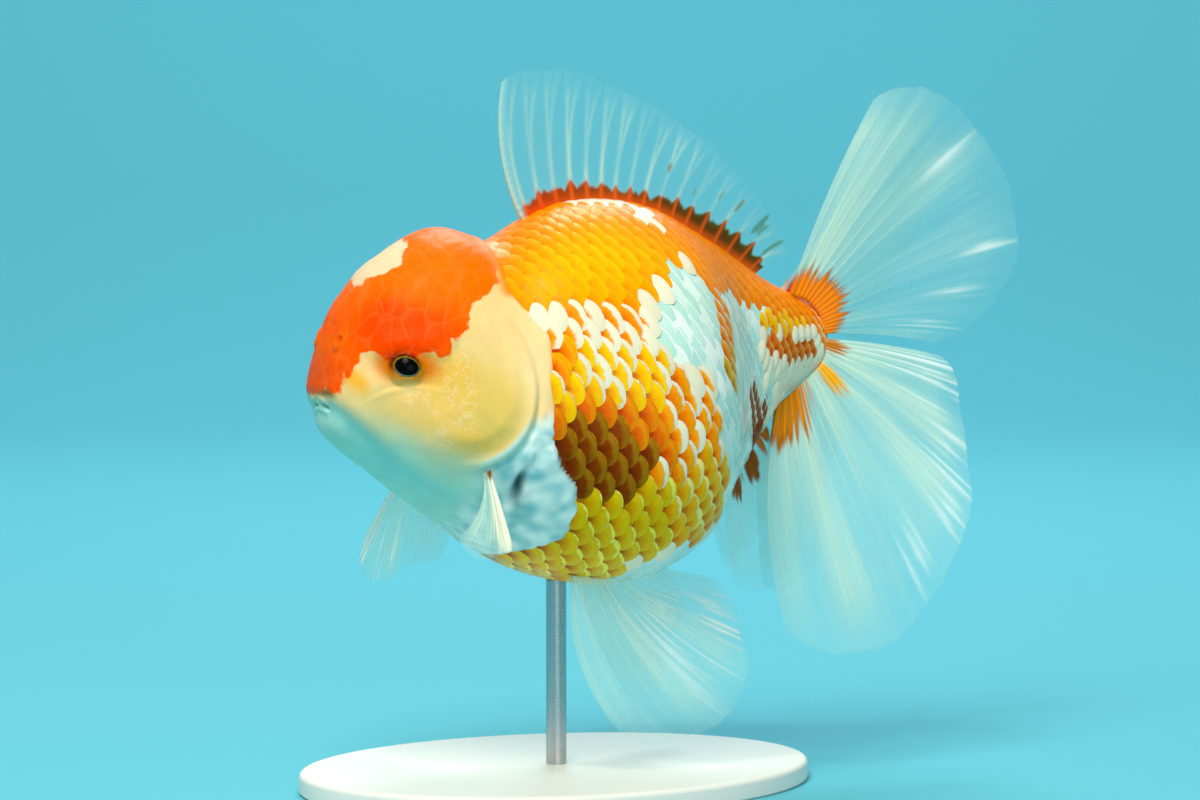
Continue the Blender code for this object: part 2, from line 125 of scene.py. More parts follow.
PELVIC_RIGHT = [
    [0, 58.5, 10.5, 42, 163, -16, 2, -4, 31],
    [0.2, 60, 11, 41.8, 150, -12, 5, -4, 34],
    [0.4, 61.6, 11.2, 41.6, 138, -10, 8, -2, 33],
    [0.6, 63.2, 11.2, 41.6, 126, -8, 10, 0, 30],
    [0.8, 64.6, 10.6, 41.6, 114, -8, 10, 0, 26],
    [1, 66, 9.6, 42, 104, -8, 8, 0, 20],
]
ANAL_LEFT = [
    [0, 86.5, 2.6, 58.6, 182, -8, 4, 2, 21.5],
    [0.33, 89, 2.6, 62, 168, -8, 7, 2, 27],
    [0.66, 91.8, 2.4, 66, 155, -6, 8, 2, 24],
    [1, 95, 2.2, 71, 140, -6, 9, 2, 15],
]
ANAL_RIGHT = [
    [0, 85.5, 2.6, 58.2, 170, -8, -2, 2, 19],
    [0.33, 88.5, 2.8, 62, 158, -8, 0, 2, 21],
    [0.66, 91.5, 2.8, 66, 148, -6, 2, 2, 18.5],
    [1, 95, 2.6, 71, 138, -6, 3, 2, 13],
]
TAIL_UPPER_LEFT = [
    [0, 104, 1.6, 95, 21, 13, 3, 0, 47.5],
    [0.2, 106.5, 2.6, 94.4, 33, 10, 8, 2, 54],
    [0.4, 108.5, 3.4, 93, 46, 10, 13, 4, 53.5],
    [0.6, 109.8, 4.2, 91, 60, 14, 18, 4, 48],
    [0.8, 110.4, 4.6, 89, 74, 16, 22, 4, 38.5],
    [1, 110.6, 4.6, 87.2, 88, 16, 24, 4, 27],
]
TAIL_UPPER_RIGHT = [
    [0, 104, 1.6, 95, 47, 0, 0, 0, 60],
    [0.2, 106.5, 2.6, 94.4, 53, 4, 3, 2, 64],
    [0.4, 108.5, 3.4, 93, 60, 8, 7, 4, 62],
    [0.6, 109.8, 4.2, 91, 68, 10, 11, 4, 56],
    [0.8, 110.4, 4.6, 89, 78, 12, 15, 4, 48],
    [1, 110.6, 4.6, 87.2, 90, 14, 18, 4, 38],
]
TAIL_LOWER_LEFT = [
    [0, 110.6, 4.8, 86.2, 94, 12, 26, 4, 26],
    [0.15, 110.6, 5, 84.6, 106, 12, 28, 4, 30.5],
    [0.3, 110.2, 5.2, 82.8, 124, 12, 28, 4, 36.5],
    [0.5, 108.6, 5.2, 80.6, 146, 8, 26, 2, 46],
    [0.75, 104.6, 4.8, 77.6, 173, -4, 20, 0, 55.5],
    [1, 98, 4.2, 73, 204, -34, 12, 0, 50.5],
]
TAIL_LOWER_RIGHT = [
    [0, 110.6, 4.8, 86.2, 92, 12, 20, 4, 30],
    [0.15, 110.6, 5, 84.6, 101, 14, 22, 4, 38],
    [0.3, 110.2, 5.2, 82.8, 116, 14, 22, 4, 42],
    [0.5, 109, 5.2, 80.8, 134, 10, 18, 2, 46],
    [0.75, 106.4, 4.8, 78.6, 158, 0, 14, 0, 50],
    [1, 102.4, 4, 75.6, 184, -22, 8, 0, 42],
]
PLEAT_POWER = 1.6

# ---- the colours, sRGB hex ----------------------------------------------------------------------------------
PAINT = {
    "pearl": "ECE1C6", "mint": "B9E2D6", "aqua": "C6E9E6", "cream": "E8C884", "peach": "FFCB8C",
    "orange": "FF8400", "gold": "FFB000", "burnt": "E86400", "brown": "863400", "olive": "E6A400",
    "lime": "FFE658", "amber": "E08A00", "honey": "E9B84A", "straw": "DEBE5E", "red": "FF3E00",
    "scarlet": "FF6600", "tangerine": "FF6C00", "ember": "FB4C00", "chin": "A6DCCB", "fringe": "FFA062",
    "groove": "92D6D0", "brow_shadow_red": "7E0A00", "bark": "9A5008", "rust": "D07408", "shoulder": "F0D49C",
}

# ---- the markings of the body -------------------------------------------------------------------------------
# Patches laid one over another: behind the snout, height, half length, half height, slope (degrees up
# towards the tail), soft edge, share of each scale that is coloured, its colour, colour of the scale's rim,
# how far the scales stand up.
FLANK_PATCHES = [
    (50, 90.2, 14, 4.6, 4, 0.6, 0.48, "orange", "pearl", 1),
    (50, 85, 16, 3.2, 4, 0.5, 0.72, "gold", "pearl", 1),
    (54, 77.5, 15, 6, 0, 0.5, 0.84, "gold", "pearl", 1),
    (50, 80.6, 13, 1.8, 2, 0.5, 0.76, "gold", "pearl", 1),
    (39, 85, 3.6, 4, 0, 0.4, 0.9, "orange", "gold", 1),
    (39, 76.5, 3.4, 3, 0, 0.5, 0.9, "gold", "cream", 1),
    (66, 68, 9, 14, -8, 0.4, 0.72, "orange", "pearl", 1),
    (48.5, 70.5, 12.5, 8, -4, 0.5, 0.97, "burnt", "orange", 1),
    # Partly painted shade: this brown low on the flank stands for shaded orange as well as dark pigment
    (47, 65.8, 11, 8, -8, 0.6, 0.98, "brown", "C07A00", 1),
    # Partly painted light: the olive and lime below stand for scales lit blue-green from beneath
    (58, 53.5, 15.5, 8.6, 20, 0.5, 0.86, "olive", "lime", 1),
    (50.5, 55, 8.5, 4.5, -6, 0.7, 0.9, "olive", "lime", 1),
    (44, 44, 13, 4.6, -6, 0.4, 0.86, "olive", "lime", 0.9),
    (68, 57, 7, 9.5, -8, 0.4, 0.8, "F59A00", "FFDE80", 1),
    (67, 43, 13, 5.2, 12, 0.4, 0, "olive", "aqua", 0.5),
    (68, 91.5, 7.2, 11.5, 8, 0.4, 0, "orange", "mint", 0.25),
    (82, 70, 12.5, 22, 8, 0.3, 0, "orange", "mint", 0.25),
    (82, 90, 12, 7, 0, 0.3, 0, "orange", "mint", 0.25),
    (75.2, 91, 2.1, 6, 0, 0.7, 0.86, "orange", "mint", 0.45),
    (75.6, 82.6, 1.9, 3.2, 0, 0.5, 0.95, "olive", "mint", 0.4),
    (99, 90, 7.5, 2.2, -4, 0.6, 0.92, "gold", "pearl", 0.6),
    (95, 87.4, 6, 1.2, -4, 0.5, 0, "gold", "pearl", 0.6),
    (98.5, 85, 8.5, 2.7, -4, 0.4, 0.99, "burnt", "burnt", 0.45),
    (89.5, 70.5, 3.2, 9, 24, 0.4, 0.97, "brown", "burnt", 0.3),
    (103, 79.4, 8, 3.4, 10, 0.4, 0, "orange", "pearl", 0.5),
]
# The same, but by the angle from the top in degrees in place of the height
TOP_PATCHES = [
    (57.6, 6, 8.6, 6.5, 0, 0.3, 0, "orange", "pearl", 0.4),
    (66, 17, 2.4, 9.5, 0, 0.4, 0, "orange", "pearl", 0.4),
    (110.5, 40, 3, 70, 0, 0.5, 0.9, "orange", "pearl", 0.4),
]
# The lower edge of the orange back: behind the snout, height
BACK_EDGE = np.array([
    [27, 97.5], [35, 96], [41.4, 94.4], [48.2, 93.4], [56.2, 94.4], [60.5, 96], [64, 101.5],
    [70.5, 103.2], [73.4, 98.5], [78, 97], [88, 94.6], [101, 90.5], [112, 88],
])
# ---- the markings of the head -------------------------------------------------------------------------------
# Behind the snout, height, half length, half height, slope, strength, colour
CHEEK_PATCHES = [
    (37, 84, 7.5, 16, -6, 0.9, "shoulder"),
    (37.4, 75.6, 2.6, 2, 0, 0.9, "peach"),
    (38.6, 81.6, 2.2, 3, 0, 0.8, "peach"),
    (29, 93, 6, 4.5, -30, 0.9, "peach"),
    (25.5, 76, 6.5, 8.5, 0, 0.9, "straw"),
    (22.5, 69.5, 4.5, 3, -20, 0.8, "honey"),
    # Painted shade on the cheek below and behind the eye
    (18.5, 76.5, 4.5, 6.5, 0, 0.4, "honey"),
    (19, 82.8, 5, 4, 0, 0.85, "honey"),
    (11.4, 83.6, 5.8, 2.9, -4, 0.95, "amber"),
    (4.2, 83.2, 3, 3.2, 40, 0.85, "peach"),
    (3.6, 81.4, 1.6, 2.8, 30, 0.8, "gold"),
    (13.5, 76, 7, 4.5, -8, 0.4, "honey"),
]
HOOD_PATCHES = [
    (26, 102, 9, 8, 0, 0.9, "tangerine"),
    (12.5, 91, 9, 6.5, 8, 0.95, "red"),
    (2, 81.5, 3.4, 5, 20, 0.8, "ember"),
    (18, 99, 6, 5, 0, 0.5, "tangerine"),
]
# The lower edge of the hood's red: behind the snout, height
HOOD_EDGE = np.array([
    [0, 78.8], [1, 78.2], [1.9, 79.7], [3.1, 81.9], [4, 84.2], [4.6, 86.2], [5.7, 86.4], [8.8, 85.2], [12, 85],
    [14.2, 85.8], [16.6, 86.4], [17.4, 85.3], [19.3, 85.4], [20, 87.4], [20.9, 88.3], [22.3, 90.8],
    [23.8, 94.9], [24.9, 96.3], [27.8, 98], [30.8, 98.8], [32, 102], [33.2, 106], [34, 112],
])
HOOD_WHITE = (12.6, 4, 5.4, 19)      # the white saddle on the forehead: station, angle, and its halves
GILL_RIM = (22, 82, 12.3, 15.3, 17.6)     # middle, reach back, reach up, reach down
CHIN_EDGE = (75.2, -0.4)                     # height at the snout, fall per mm
THROAT_EDGE = np.array([[0, 75.8], [4.8, 70.6], [11.6, 63.9], [19.6, 59], [27, 56.5]])
MOUTH_HEIGHT = 76.4
# Where the coat of scales begins: height, behind the snout
COAT_EDGE = np.array([
    [42, 31], [45, 33], [46.5, 34.6], [48.5, 38.5], [50.5, 43], [56, 44.2], [61, 42],
    [64.8, 38.8], [72, 37.2], [76, 37], [86, 38.2], [90, 38], [95, 33.8], [98, 32.8],
])

# ---- the scales ---------------------------------------------------------------------------------------------
COAT = 0.5                # how deep the skin lies under the body surface where scales cover it
LATERAL = np.radians(88)
ROW_PITCH = (3.7, 2.9, 3.9)                # at the lateral line, near the back, near the keel
ROW_NARROW = np.array([[27, 0.88], [38, 0.96], [45, 1], [64, 1], [75, 0.8], [88, 0.66], [111, 0.5]])
# Half the distance between two scales of a row: behind the snout, on the flank, on the back
COLUMN_PITCH = np.array([[27, 1.75, 1.45], [36, 1.9, 1.45], [45, 2.1, 1.5], [64, 2, 1.55], [74, 1.6, 1.4],
                         [86, 1.3, 1.2], [111, 1, 1]])
SCALE_FRONT, SCALE_REAR, SCALE_SIDE = 1.55, 1.32, 0.92     # reach of a scale, in columns and rows
SCALE_TILT, SCALE_DOME, SCALE_THICK = 0.48, 0.26, 0.09
SCALE_ROUND = 20
SCALE_SQUARE = 0.84       # below 1 an oval fills out towards a rectangle
SCALE_RINGS = (0.42, 0.74, 0.93, 1)


# ---- small tools --------------------------------------------------------------------------------------------
def rgb(name):
    """A colour of PAINT, or a plain sRGB hex, as linear red, green and blue."""
    value = PAINT.get(name, name)
    value = np.array([int(value[i:i + 2], 16) for i in (0, 2, 4)]) / 255
    return np.where(value <= 0.04045, value / 12.92, ((value + 0.055) / 1.055) ** 2.4)


def smooth(x, lo, hi):
    """0 up to lo and 1 from hi on, with an S curve between them; lo above hi turns it round."""
    t = np.clip((x - lo) / (hi - lo), 0, 1)
    return t * t * (3 - 2 * t)


def bell(x, width):
    """1 at 0, and 1/e at the width to either side."""
    return np.exp(-(x / width) ** 2)


def mix(old, new, share):
    """Old and new blended, the share given per point; colours have it spread over their channels."""
    share = share[..., None] if np.ndim(new) == 1 or np.ndim(old) > np.ndim(share) else share
    return old + (new - old) * share


def spline(x, y, at):
    """Natural cubic spline through (x, y), read at `at`."""
    x, y, at = (np.asarray(v, float) for v in (x, y, at))
    n, h = len(x), np.diff(x)
    m, r = np.zeros((n, n)), np.zeros(n)
    m[0, 0] = m[-1, -1] = 1
    i = np.arange(1, n - 1)
    m[i, i - 1], m[i, i], m[i, i + 1] = h[:-1], 2 * (h[:-1] + h[1:]), h[1:]
    r[1:-1] = 6 * ((y[2:] - y[1:-1]) / h[1:] - (y[1:-1] - y[:-2]) / h[:-1])
    c = np.linalg.solve(m, r)
    k = np.clip(np.searchsorted(x, at) - 1, 0, n - 2)
    d0, d1 = at - x[k], x[k + 1] - at
    return ((c[k] * d1 ** 3 + c[k + 1] * d0 ** 3) / (6 * h[k])
            + (y[k] / h[k] - c[k] * h[k] / 6) * d1 + (y[k + 1] / h[k] - c[k + 1] * h[k] / 6) * d0)


def look_up(table, row, column):
    """A table read between its cells, at fractional rows and columns."""
    r = np.clip(row, 0, table.shape[0] - 1.001)
    c = np.clip(column, 0, table.shape[1] - 1.001)
    i, j = r.astype(int), c.astype(int)
    p, q = r - i, c - j
    return ((table[i, j] * (1 - q) + table[i, j + 1] * q) * (1 - p)
            + (table[i + 1, j] * (1 - q) + table[i + 1, j + 1] * q) * p)


GRAIN = rng.random((32, 32, 32))
JITTER = rng.random((16, 16, 16, 3))
NOISE_ORIGIN = 100.5      # in cells, so that no place on the fish lies below 0


def clouds(points, size):
    """Soft noise from -1 to 1: random values on a cubic grid of this size in mm, blended between corners."""
    p = points / size + NOISE_ORIGIN
    cell = np.floor(p).astype(int)
    t = p - cell
    t = t * t * (3 - 2 * t)
    total = 0
    for corner in np.ndindex(2, 2, 2):
        i, j, k = np.moveaxis((cell + corner) % len(GRAIN), -1, 0)
        total = total + np.prod(np.where(corner, t, 1 - t), axis=-1) * GRAIN[i, j, k]
    return 2 * total - 1


def cells(points, size):
    """Distances in mm to the nearest and second nearest of points strewn one to a cube of this size."""
    p = points / size + NOISE_ORIGIN
    base = np.floor(p).astype(int)
    near = second = np.full(p.shape[:-1], 9.0)      # beyond any strewn point
    for step in np.ndindex(3, 3, 3):
        cell = base + np.array(step) - 1
        i, j, k = np.moveaxis(cell % len(JITTER), -1, 0)
        d = np.linalg.norm(cell + JITTER[i, j, k] - p, axis=-1)
        second = np.minimum(second, np.maximum(near, d))
        near = np.minimum(near, d)
    return near * size, second * size


def running(steps):
    """Running sum along the first axis, from 0."""
    return np.concatenate([np.zeros_like(steps[:1]), np.cumsum(steps, axis=0)])


# ---- the body surface ---------------------------------------------------------------------------------------
STEPS = np.sqrt(np.linalg.norm(np.diff(STATIONS[:, :4], axis=0), axis=1))
KNOTS = running(STEPS) / STEPS.sum()
FINE = np.linspace(0, 1, 2001)
FINE_BEHIND = spline(KNOTS, STATIONS[:, 0], FINE)
LINE = np.linspace(0, 260, 2601)                                  # the centre line, 0.1 mm apart
LINE_TURN = -BEND * smooth(LINE, BEND_FROM, BEND_TO)
LINE_ALONG = running(np.cos(LINE_TURN[:-1])) * LINE[1]
LINE_SIDE = running(np.sin(LINE_TURN[:-1])) * LINE[1]


def placed(behind, left, z):
    """Body coordinates (behind the snout, left of the centre line, height) to the row's frame."""
    along, side, turn = (np.interp(behind, LINE, v) for v in (LINE_ALONG, LINE_SIDE, LINE_TURN))
    return np.stack([along - np.sin(turn) * left - OVER_ORIGIN, -(side + np.cos(turn) * left),
                     np.broadcast_to(z, np.shape(left))], -1)


def body(u, angle):
    """The body surface: each section's half width is a power of the angle's sine, and its height the cosine
    times the distance to the back or the keel; splines along the body give both, and swellings stand out."""
    behind, back, keel, wide, mid = (spline(KNOTS, STATIONS[:, c], u) for c in range(5))
    s, c = np.sin(angle), np.cos(angle)
    narrow = RIDGE[0] * smooth(behind, *RIDGE[1:]) - STALK_ROUND[0] * smooth(behind, *STALK_ROUND[1:])
    power = np.where(c > 0, 1 + narrow * np.sqrt(np.clip(c, 0, 1)), BELLY_POWER)
    left = wide * np.sign(s) * np.abs(s) ** power
    z = mid + np.where(c > 0, back - mid, mid - keel) * c
    for a0, z0, reach, high, out in SWELLINGS:
        left = left + (np.sign(s) * np.sqrt(np.abs(s)) * out
                       * np.exp(-((behind - a0) / reach) ** 2 - ((z - z0) / high) ** 2))
    return placed(behind, left, z)


def body_normal(u, angle):
    """Outward unit normals of the body surface, from small steps along it and round it."""
    du = body(np.minimum(u + 1e-4, 1), angle) - body(np.maximum(u - 1e-4, 0), angle)
    n = np.cross(du, body(u, angle + 1e-3) - body(u, angle - 1e-3))
    n = n / np.maximum(np.linalg.norm(n, axis=-1, keepdims=True), 1e-12)
    return -n if (n[..., 2] * np.cos(angle)).mean() < 0 else n


def on_body(behind, angle, out):
    """Points at a station and an angle, this far out from the body surface."""
    u = np.interp(behind, FINE_BEHIND, FINE)
    return body(u, angle) + body_normal(u, angle) * np.asarray(out)[..., None]


def eye_frame(side):
    """Middle of the eye on the skin, and its axes: backwards along the body, upwards, and outwards."""
    a, th = np.array(EYE_AT[0]), np.array(side * EYE_AT[1])
    middle = on_body(a, th, 0.0)
    outward = on_body(a, th, 1.0) - middle
    back = np.array([1.0, 0, 0]) - outward * outward[0]
    back /= np.linalg.norm(back)
    upward = np.cross(outward, back) * -side
    return middle, back, upward * np.sign(upward[2]), outward


# ---- the markings -------------------------------------------------------------------------------------------
def inside(a, h, patch, wobble):
    """How deep a point lies inside an ellipse laid at a slope: 1 in its middle, 0 at its edge, then below 0."""
    a0, h0, long, high, slope = patch[:5]
    c, s = np.cos(np.radians(slope)), np.sin(np.radians(slope))
    da, dh = a - a0, h - h0
    return 1 - np.hypot((da * c + dh * s) / long, (dh * c - da * s) / high) + wobble


def above(a, h, edge):
    """Distance in mm above an edge of straight stretches between a few points."""
    line = np.interp(a, *edge.T)
    steep = np.interp(a + 0.5, *edge.T) - np.interp(a - 0.5, *edge.T)
    return (h - line) / np.hypot(1, steep)


def body_marks(a, angle, points, soften=1.0):
    """Of every point of the body: share coloured, colour, rim colour and how far scales stand up. Edges between
    patches are as wide as `soften` says."""
    z, turn = points[..., 2], np.degrees(np.abs(angle))
    wobble = 0.16 * clouds(points, 5.0) + 0.10 * clouds(points, 2.2)
    share, stand = np.zeros(a.shape), np.ones(a.shape)
    colour, rim = (np.broadcast_to(rgb(name), a.shape + (3,)) for name in ("gold", "pearl"))

    def lay(h, patches):
        """Blends each patch over the ones before, by how deep a point lies inside it."""
        nonlocal share, colour, rim, stand
        for patch in patches:
            soft, part, paint, edge, up = patch[5:]
            on = smooth(inside(a, h, patch, wobble), -soft / 4 * soften, soft / 4 * soften)
            share, stand = mix(share, part, on), mix(stand, up, on)
            colour, rim = mix(colour, rgb(paint), on), mix(rim, rgb(edge), on)

    lay(z, FLANK_PATCHES)
    # The orange back, golden in its middle
    on = smooth(above(a, z, BACK_EDGE) + 1.3 * clouds(points, 3.4), 0.2 - soften, 0.2 + soften)
    golden = bell(a - 50, 17) * bell(turn - 40, 15)
    share, stand = mix(share, 1.0, on), mix(stand, 0.55, on)
    colour = mix(mix(colour, rgb("orange"), on), rgb("gold"), on * golden)
    rim = mix(mix(rim, rgb("orange"), on), rgb("gold"), on * (0.3 + 0.7 * golden))
    lay(turn, TOP_PATCHES)
    # Painted highlights: rims whitened in noise patches where scales lie flat
    rim_glints = smooth(clouds(points, 2.8) + 0.6 * clouds(points, 1.3), -0.1, 0.7) * smooth(stand, 0.5, 0.25)
    return share, colour, mix(rim, rgb("F6FAF2"), 0.85 * rim_glints), stand


def gill_rim(a, z):
    """The gill cover as an ellipse, longer above its middle than below: 1 on its rim, less inside."""
    a0, z0, back, high, low = GILL_RIM
    return np.hypot((a - a0) / back, (z - z0) / np.where(z > z0, high, low))


def hood_depth(a, angle, points):
    """Distance in mm inside the red of the hood: above its edge and outside the white saddle."""
    warp = 1.1 * clouds(points, 3.0) + 0.5 * clouds(points, 1.3)
    red = above(a, points[..., 2], HOOD_EDGE) + warp
    a0, turn0, long, wide = HOOD_WHITE
    saddle = 1 - np.hypot((a - a0) / long, (np.degrees(angle) - turn0) / wide)
    return np.minimum(red, -6.0 * saddle + 1.2 * warp)


def coat_share(a, points):
    """1 where scales cover the body, behind an edge that runs down from the hood and round the bare breast."""
    return smooth(a - np.interp(points[..., 2], *COAT_EDGE.T) + 0.7 * clouds(points, 3.0), -0.35, 0.35)


def crevice(a, z):
    """1 in the bottom of the fold behind the pectoral fin, an ellipse bent like a bracket."""
    return bell(a - 31.6 - 0.05 * (z - 61) ** 2, 0.95) * bell(z - 61, 3.4)


def patched(name, patches, a, points, wander, hi):
    """A plain colour with soft patches laid over it, their edges wandering by noise 4 mm across."""
    tint = np.broadcast_to(rgb(name), a.shape + (3,))
    for patch in patches:
        strength, paint = patch[5:]
        on = smooth(inside(a, points[..., 2], patch, wander * clouds(points, 4.0)), -0.5, hi)
        tint = mix(tint, rgb(paint), strength * on)
    return tint


def head_tints(a, points):
    """Soft colours of the bare skin of the head: cream above, and blue-green on the chin and the breast, partly
    pale skin and partly painted blue-green shade. A painted highlight runs along the gill cover's lower rim;
    painted shade lies in the throat's groove, just outside the rim, in the crumples of the breast and in the
    fold by the pectoral fin; the snout tip is brown."""
    z = points[..., 2]
    tint = patched("cream", CHEEK_PATCHES, a, points, 0.1, 0.7)
    # The underside: pale skin with painted blue-green shade
    chin = smooth(CHIN_EDGE[0] + CHIN_EDGE[1] * a - z + 1.5 * clouds(points, 6.0), -4.5, 6.0)
    tint = mix(tint, rgb("chin"), chin)
    tint = mix(tint, rgb("aqua"), 0.8 * chin * smooth(a, 7, 0) * smooth(z, 68, 74))
    # Painted shade in the throat's groove
    tint = mix(tint, rgb("groove"), 0.8 * bell(above(a, z, THROAT_EDGE), 1.5) * smooth(a, 27, 19))
    rim, low, rear = gill_rim(a, z), smooth(z, 76, 70), smooth(a, 22, 28)
    # A painted highlight along the gill cover's lower rim
    tint = mix(tint, rgb("aqua"), 0.95 * bell(rim - 0.95, 0.04) * smooth(a, 22, 27) * low)
    breast = smooth(rim, 0.985, 1.05) * smooth(z + 1.5 * clouds(points, 3.0), 76.5, 72) * rear
    # The bare breast: dark teal and white in noise, painted shade and light of its crumples
    crumpled = mix(rgb("78C2C6"), rgb("F0FAF4"), 0.5 + 0.5 * clouds(points, 2.0))
    tint = mix(tint, crumpled, breast)
    # Painted shade in the fold behind the pectoral fin
    tint = mix(tint, rgb("00505E"), crevice(a, z))
    # Painted shade in the groove just outside the gill cover's rim
    tint = mix(tint, rgb("groove"), 0.6 * bell(rim - 1.02, 0.025) * low * rear)
    tint = mix(tint, rgb("E4C8A6"), 0.9 * smooth(z, 96, 99) * smooth(a, 24, 18))
    return mix(tint, rgb("bark"), 0.9 * smooth(a, 1.5, 0.6) * bell(z - 78.8, 0.9))


def skin_tints(a, angle, points, eye_near):
    """Colours of the skin without the red of the hood, and of the hood: reds that are deep by the eye and on
    the snout, orange behind and paler along the rear fringe. Round the eye the skin turns deeper orange above
    and
    amber below, and both get painted shade: dark red under the brow and dark brown inside the socket."""
    z = points[..., 2]
    share, colour, rim, _ = body_marks(a, angle, points)
    torso = mix(rim, colour, smooth(share, 0.2, 0.9))
    torso = mix(torso, rgb("tangerine"), 0.85 * smooth(a, 36, 32) * smooth(z, 96, 98))
    tint = mix(head_tints(a, points), torso, np.maximum(coat_share(a, points), smooth(a, 45, 47))[..., None])
    tint = mix(tint, rgb("orange"), smooth(above(a, z, BACK_EDGE), -0.5, 1.5) * smooth(a, 29.5, 33))
    hood = patched("scarlet", HOOD_PATCHES, a, points, 0.15, 0.6)
    hood = mix(hood, rgb("fringe"), 0.7 * smooth(a, 29.5, 33))
    over = smooth(z - 0.35 * (a - EYE_AT[0]), 82.8, 85)
    tint = mix(tint, rgb("DC6C00"), 0.9 * smooth(eye_near, 7.5, 3.4) * smooth(z, 80.6, 84))
    tint = mix(tint, rgb("B07A00"), 0.8 * smooth(eye_near, 3.6, 2.7) * (1 - over))
    # Painted shadow under the brow, above the eye, on the skin and on the hood
    tint = mix(tint, rgb("brow_shadow_red"), 0.9 * smooth(eye_near, 3.7, 2.8) * over)
    hood = mix(hood, rgb("brow_shadow_red"), 0.95 * smooth(eye_near, 4.5, 3) * over)
    # Painted shade inside the eye's socket
    inner = smooth(eye_near, 2.75, 2.55)
    return mix(tint, rgb("3A2608"), inner), mix(hood, rgb("3A2608"), inner)


def cheek_lace(a, z):
    """Where pale lace lies over the cheek: a leaning band behind the eye and a spot under it."""
    behind_eye = bell(a - 20.6 - 0.17 * (z - 80), 3.6) * smooth(z, 66, 70)
    under_eye = bell(a - 12, 5) * bell(z - 77.8, 2.4)
    return np.clip(smooth(gill_rim(a, z), 1, 0.9) * (behind_eye + under_eye), 0, 1)


# ---- meshes -------------------------------------------------------------------------------------------------
def put(name, data):
    """An object with this data, in the scene."""
    obj = bpy.data.objects.new(name, data)
    bpy.context.scene.collection.objects.link(obj)
    return obj


def make_piece(name, points, faces, material, slot, replaced, corner_uv=None, **values):
    """A mesh from points in millimetres and arrays of faces, turned to face outwards by the sign of its volume,
    with its values kept as attributes: three numbers a point as a vector, four as a colour."""
    volume = sum(np.einsum("ij,ij->", points[f[:, 0]], np.cross(points[f[:, k]], points[f[:, k + 1]]))
                 for f in faces for k in range(1, f.shape[1] - 1))
    if volume < 0:
        faces = [f[:, ::-1] for f in faces]
        corner_uv = corner_uv and [u[:, ::-1] for u in corner_uv]
    corners = np.concatenate([f.ravel() for f in faces])
    sizes = np.concatenate([np.full(len(f), f.shape[1]) for f in faces])
    mesh = bpy.data.meshes.new(name)
    mesh.vertices.add(len(points))
    mesh.vertices.foreach_set("co", (points * MM).astype(np.float32).ravel())
    mesh.loops.add(len(corners))
    mesh.loops.foreach_set("vertex_index", corners.astype(np.int32))
    mesh.polygons.add(len(sizes))
    mesh.polygons.foreach_set("loop_start", (np.cumsum(sizes) - sizes).astype(np.int32))
    mesh.update(calc_edges=True)
    mesh.validate()
    mesh.shade_smooth()
    for key, value in values.items():
        kind, field = {3: ("FLOAT_VECTOR", "vector"), 4: ("FLOAT_COLOR", "color")}[value.shape[1]]
        mesh.attributes.new(key, kind, "POINT").data.foreach_set(field, value.astype(np.float32).ravel())
    if corner_uv:
        uv = np.concatenate([u.reshape(-1, 2) for u in corner_uv])
        mesh.uv_layers.new(name="OFBake").data.foreach_set("uv", uv.astype(np.float32).ravel())
    mesh.materials.append(material)
    obj = put(name, mesh)
    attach(obj, "root")
    if replaced:
        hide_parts(*replaced)
    return obj


def ring_faces(rows, columns):
    """Quads between closed rings of points."""
    at = np.arange(rows * columns).reshape(rows, columns)
    nxt = np.roll(at, -1, axis=1)
    return np.stack([at[:-1], at[1:], nxt[1:], nxt[:-1]], -1).reshape(-1, 4)


def fan(pole, ring):
    """Triangles from a pole to each side of a closed ring."""
    return np.stack([np.full(len(ring), pole), ring, np.roll(ring, -1)], -1)


def capped(rows, columns):
    """Faces of closed rings of points, followed by two poles that close the first ring and the last."""
    n = rows * columns
    return [ring_faces(rows, columns), fan(n, np.arange(columns))[:, ::-1],
            fan(n + 1, np.arange(columns) + n - columns)]


# ---- the skin -----------------------------------------------------------------------------------------------
SKIN_TURNS = 320
HEAD_RINGS, TRUNK_RINGS = 172, 126
HEAD_SHARE = 0.405        # of the ring parameter, up to just behind the gill cover
DOME_RINGS = 5


def skin_angles():
    """Angles round the body, closer together round the eyes and the hood: equal steps of an integral."""
    fine = np.linspace(-np.pi, np.pi, 3601)
    turn = np.degrees(np.abs(fine))
    crowd = 1 + 0.8 * bell(turn - 76, 26) + 0.25 * smooth(turn, 60, 40)
    count = running((crowd[1:] + crowd[:-1]) / 2)
    return np.interp(np.arange(SKIN_TURNS) / SKIN_TURNS, count / count[-1], fine)


def hood_relief(a, points):
    """The hood's lumps, with creases between cells about 3.6 mm across, and the head's slight unevenness; also
    the width of the creases."""
    hood = smooth(above(a, points[..., 2], HOOD_EDGE), -0.8, 1.4) * smooth(a, 35.5, 31.5)
    near, second = cells(points * (1, 1, 0.72) + 0.7 * clouds(points, 2.6)[..., None], 3.6)
    crease = second - near
    out = hood * (0.30 + 0.16 * np.sqrt(np.clip(crease / 3, 0, 1)) + 0.34 * clouds(points, 7.0))
    return out + smooth(a, 46, 38) * (0.16 * clouds(points, 9.0) + 0.05 * clouds(points, 2.0)), crease


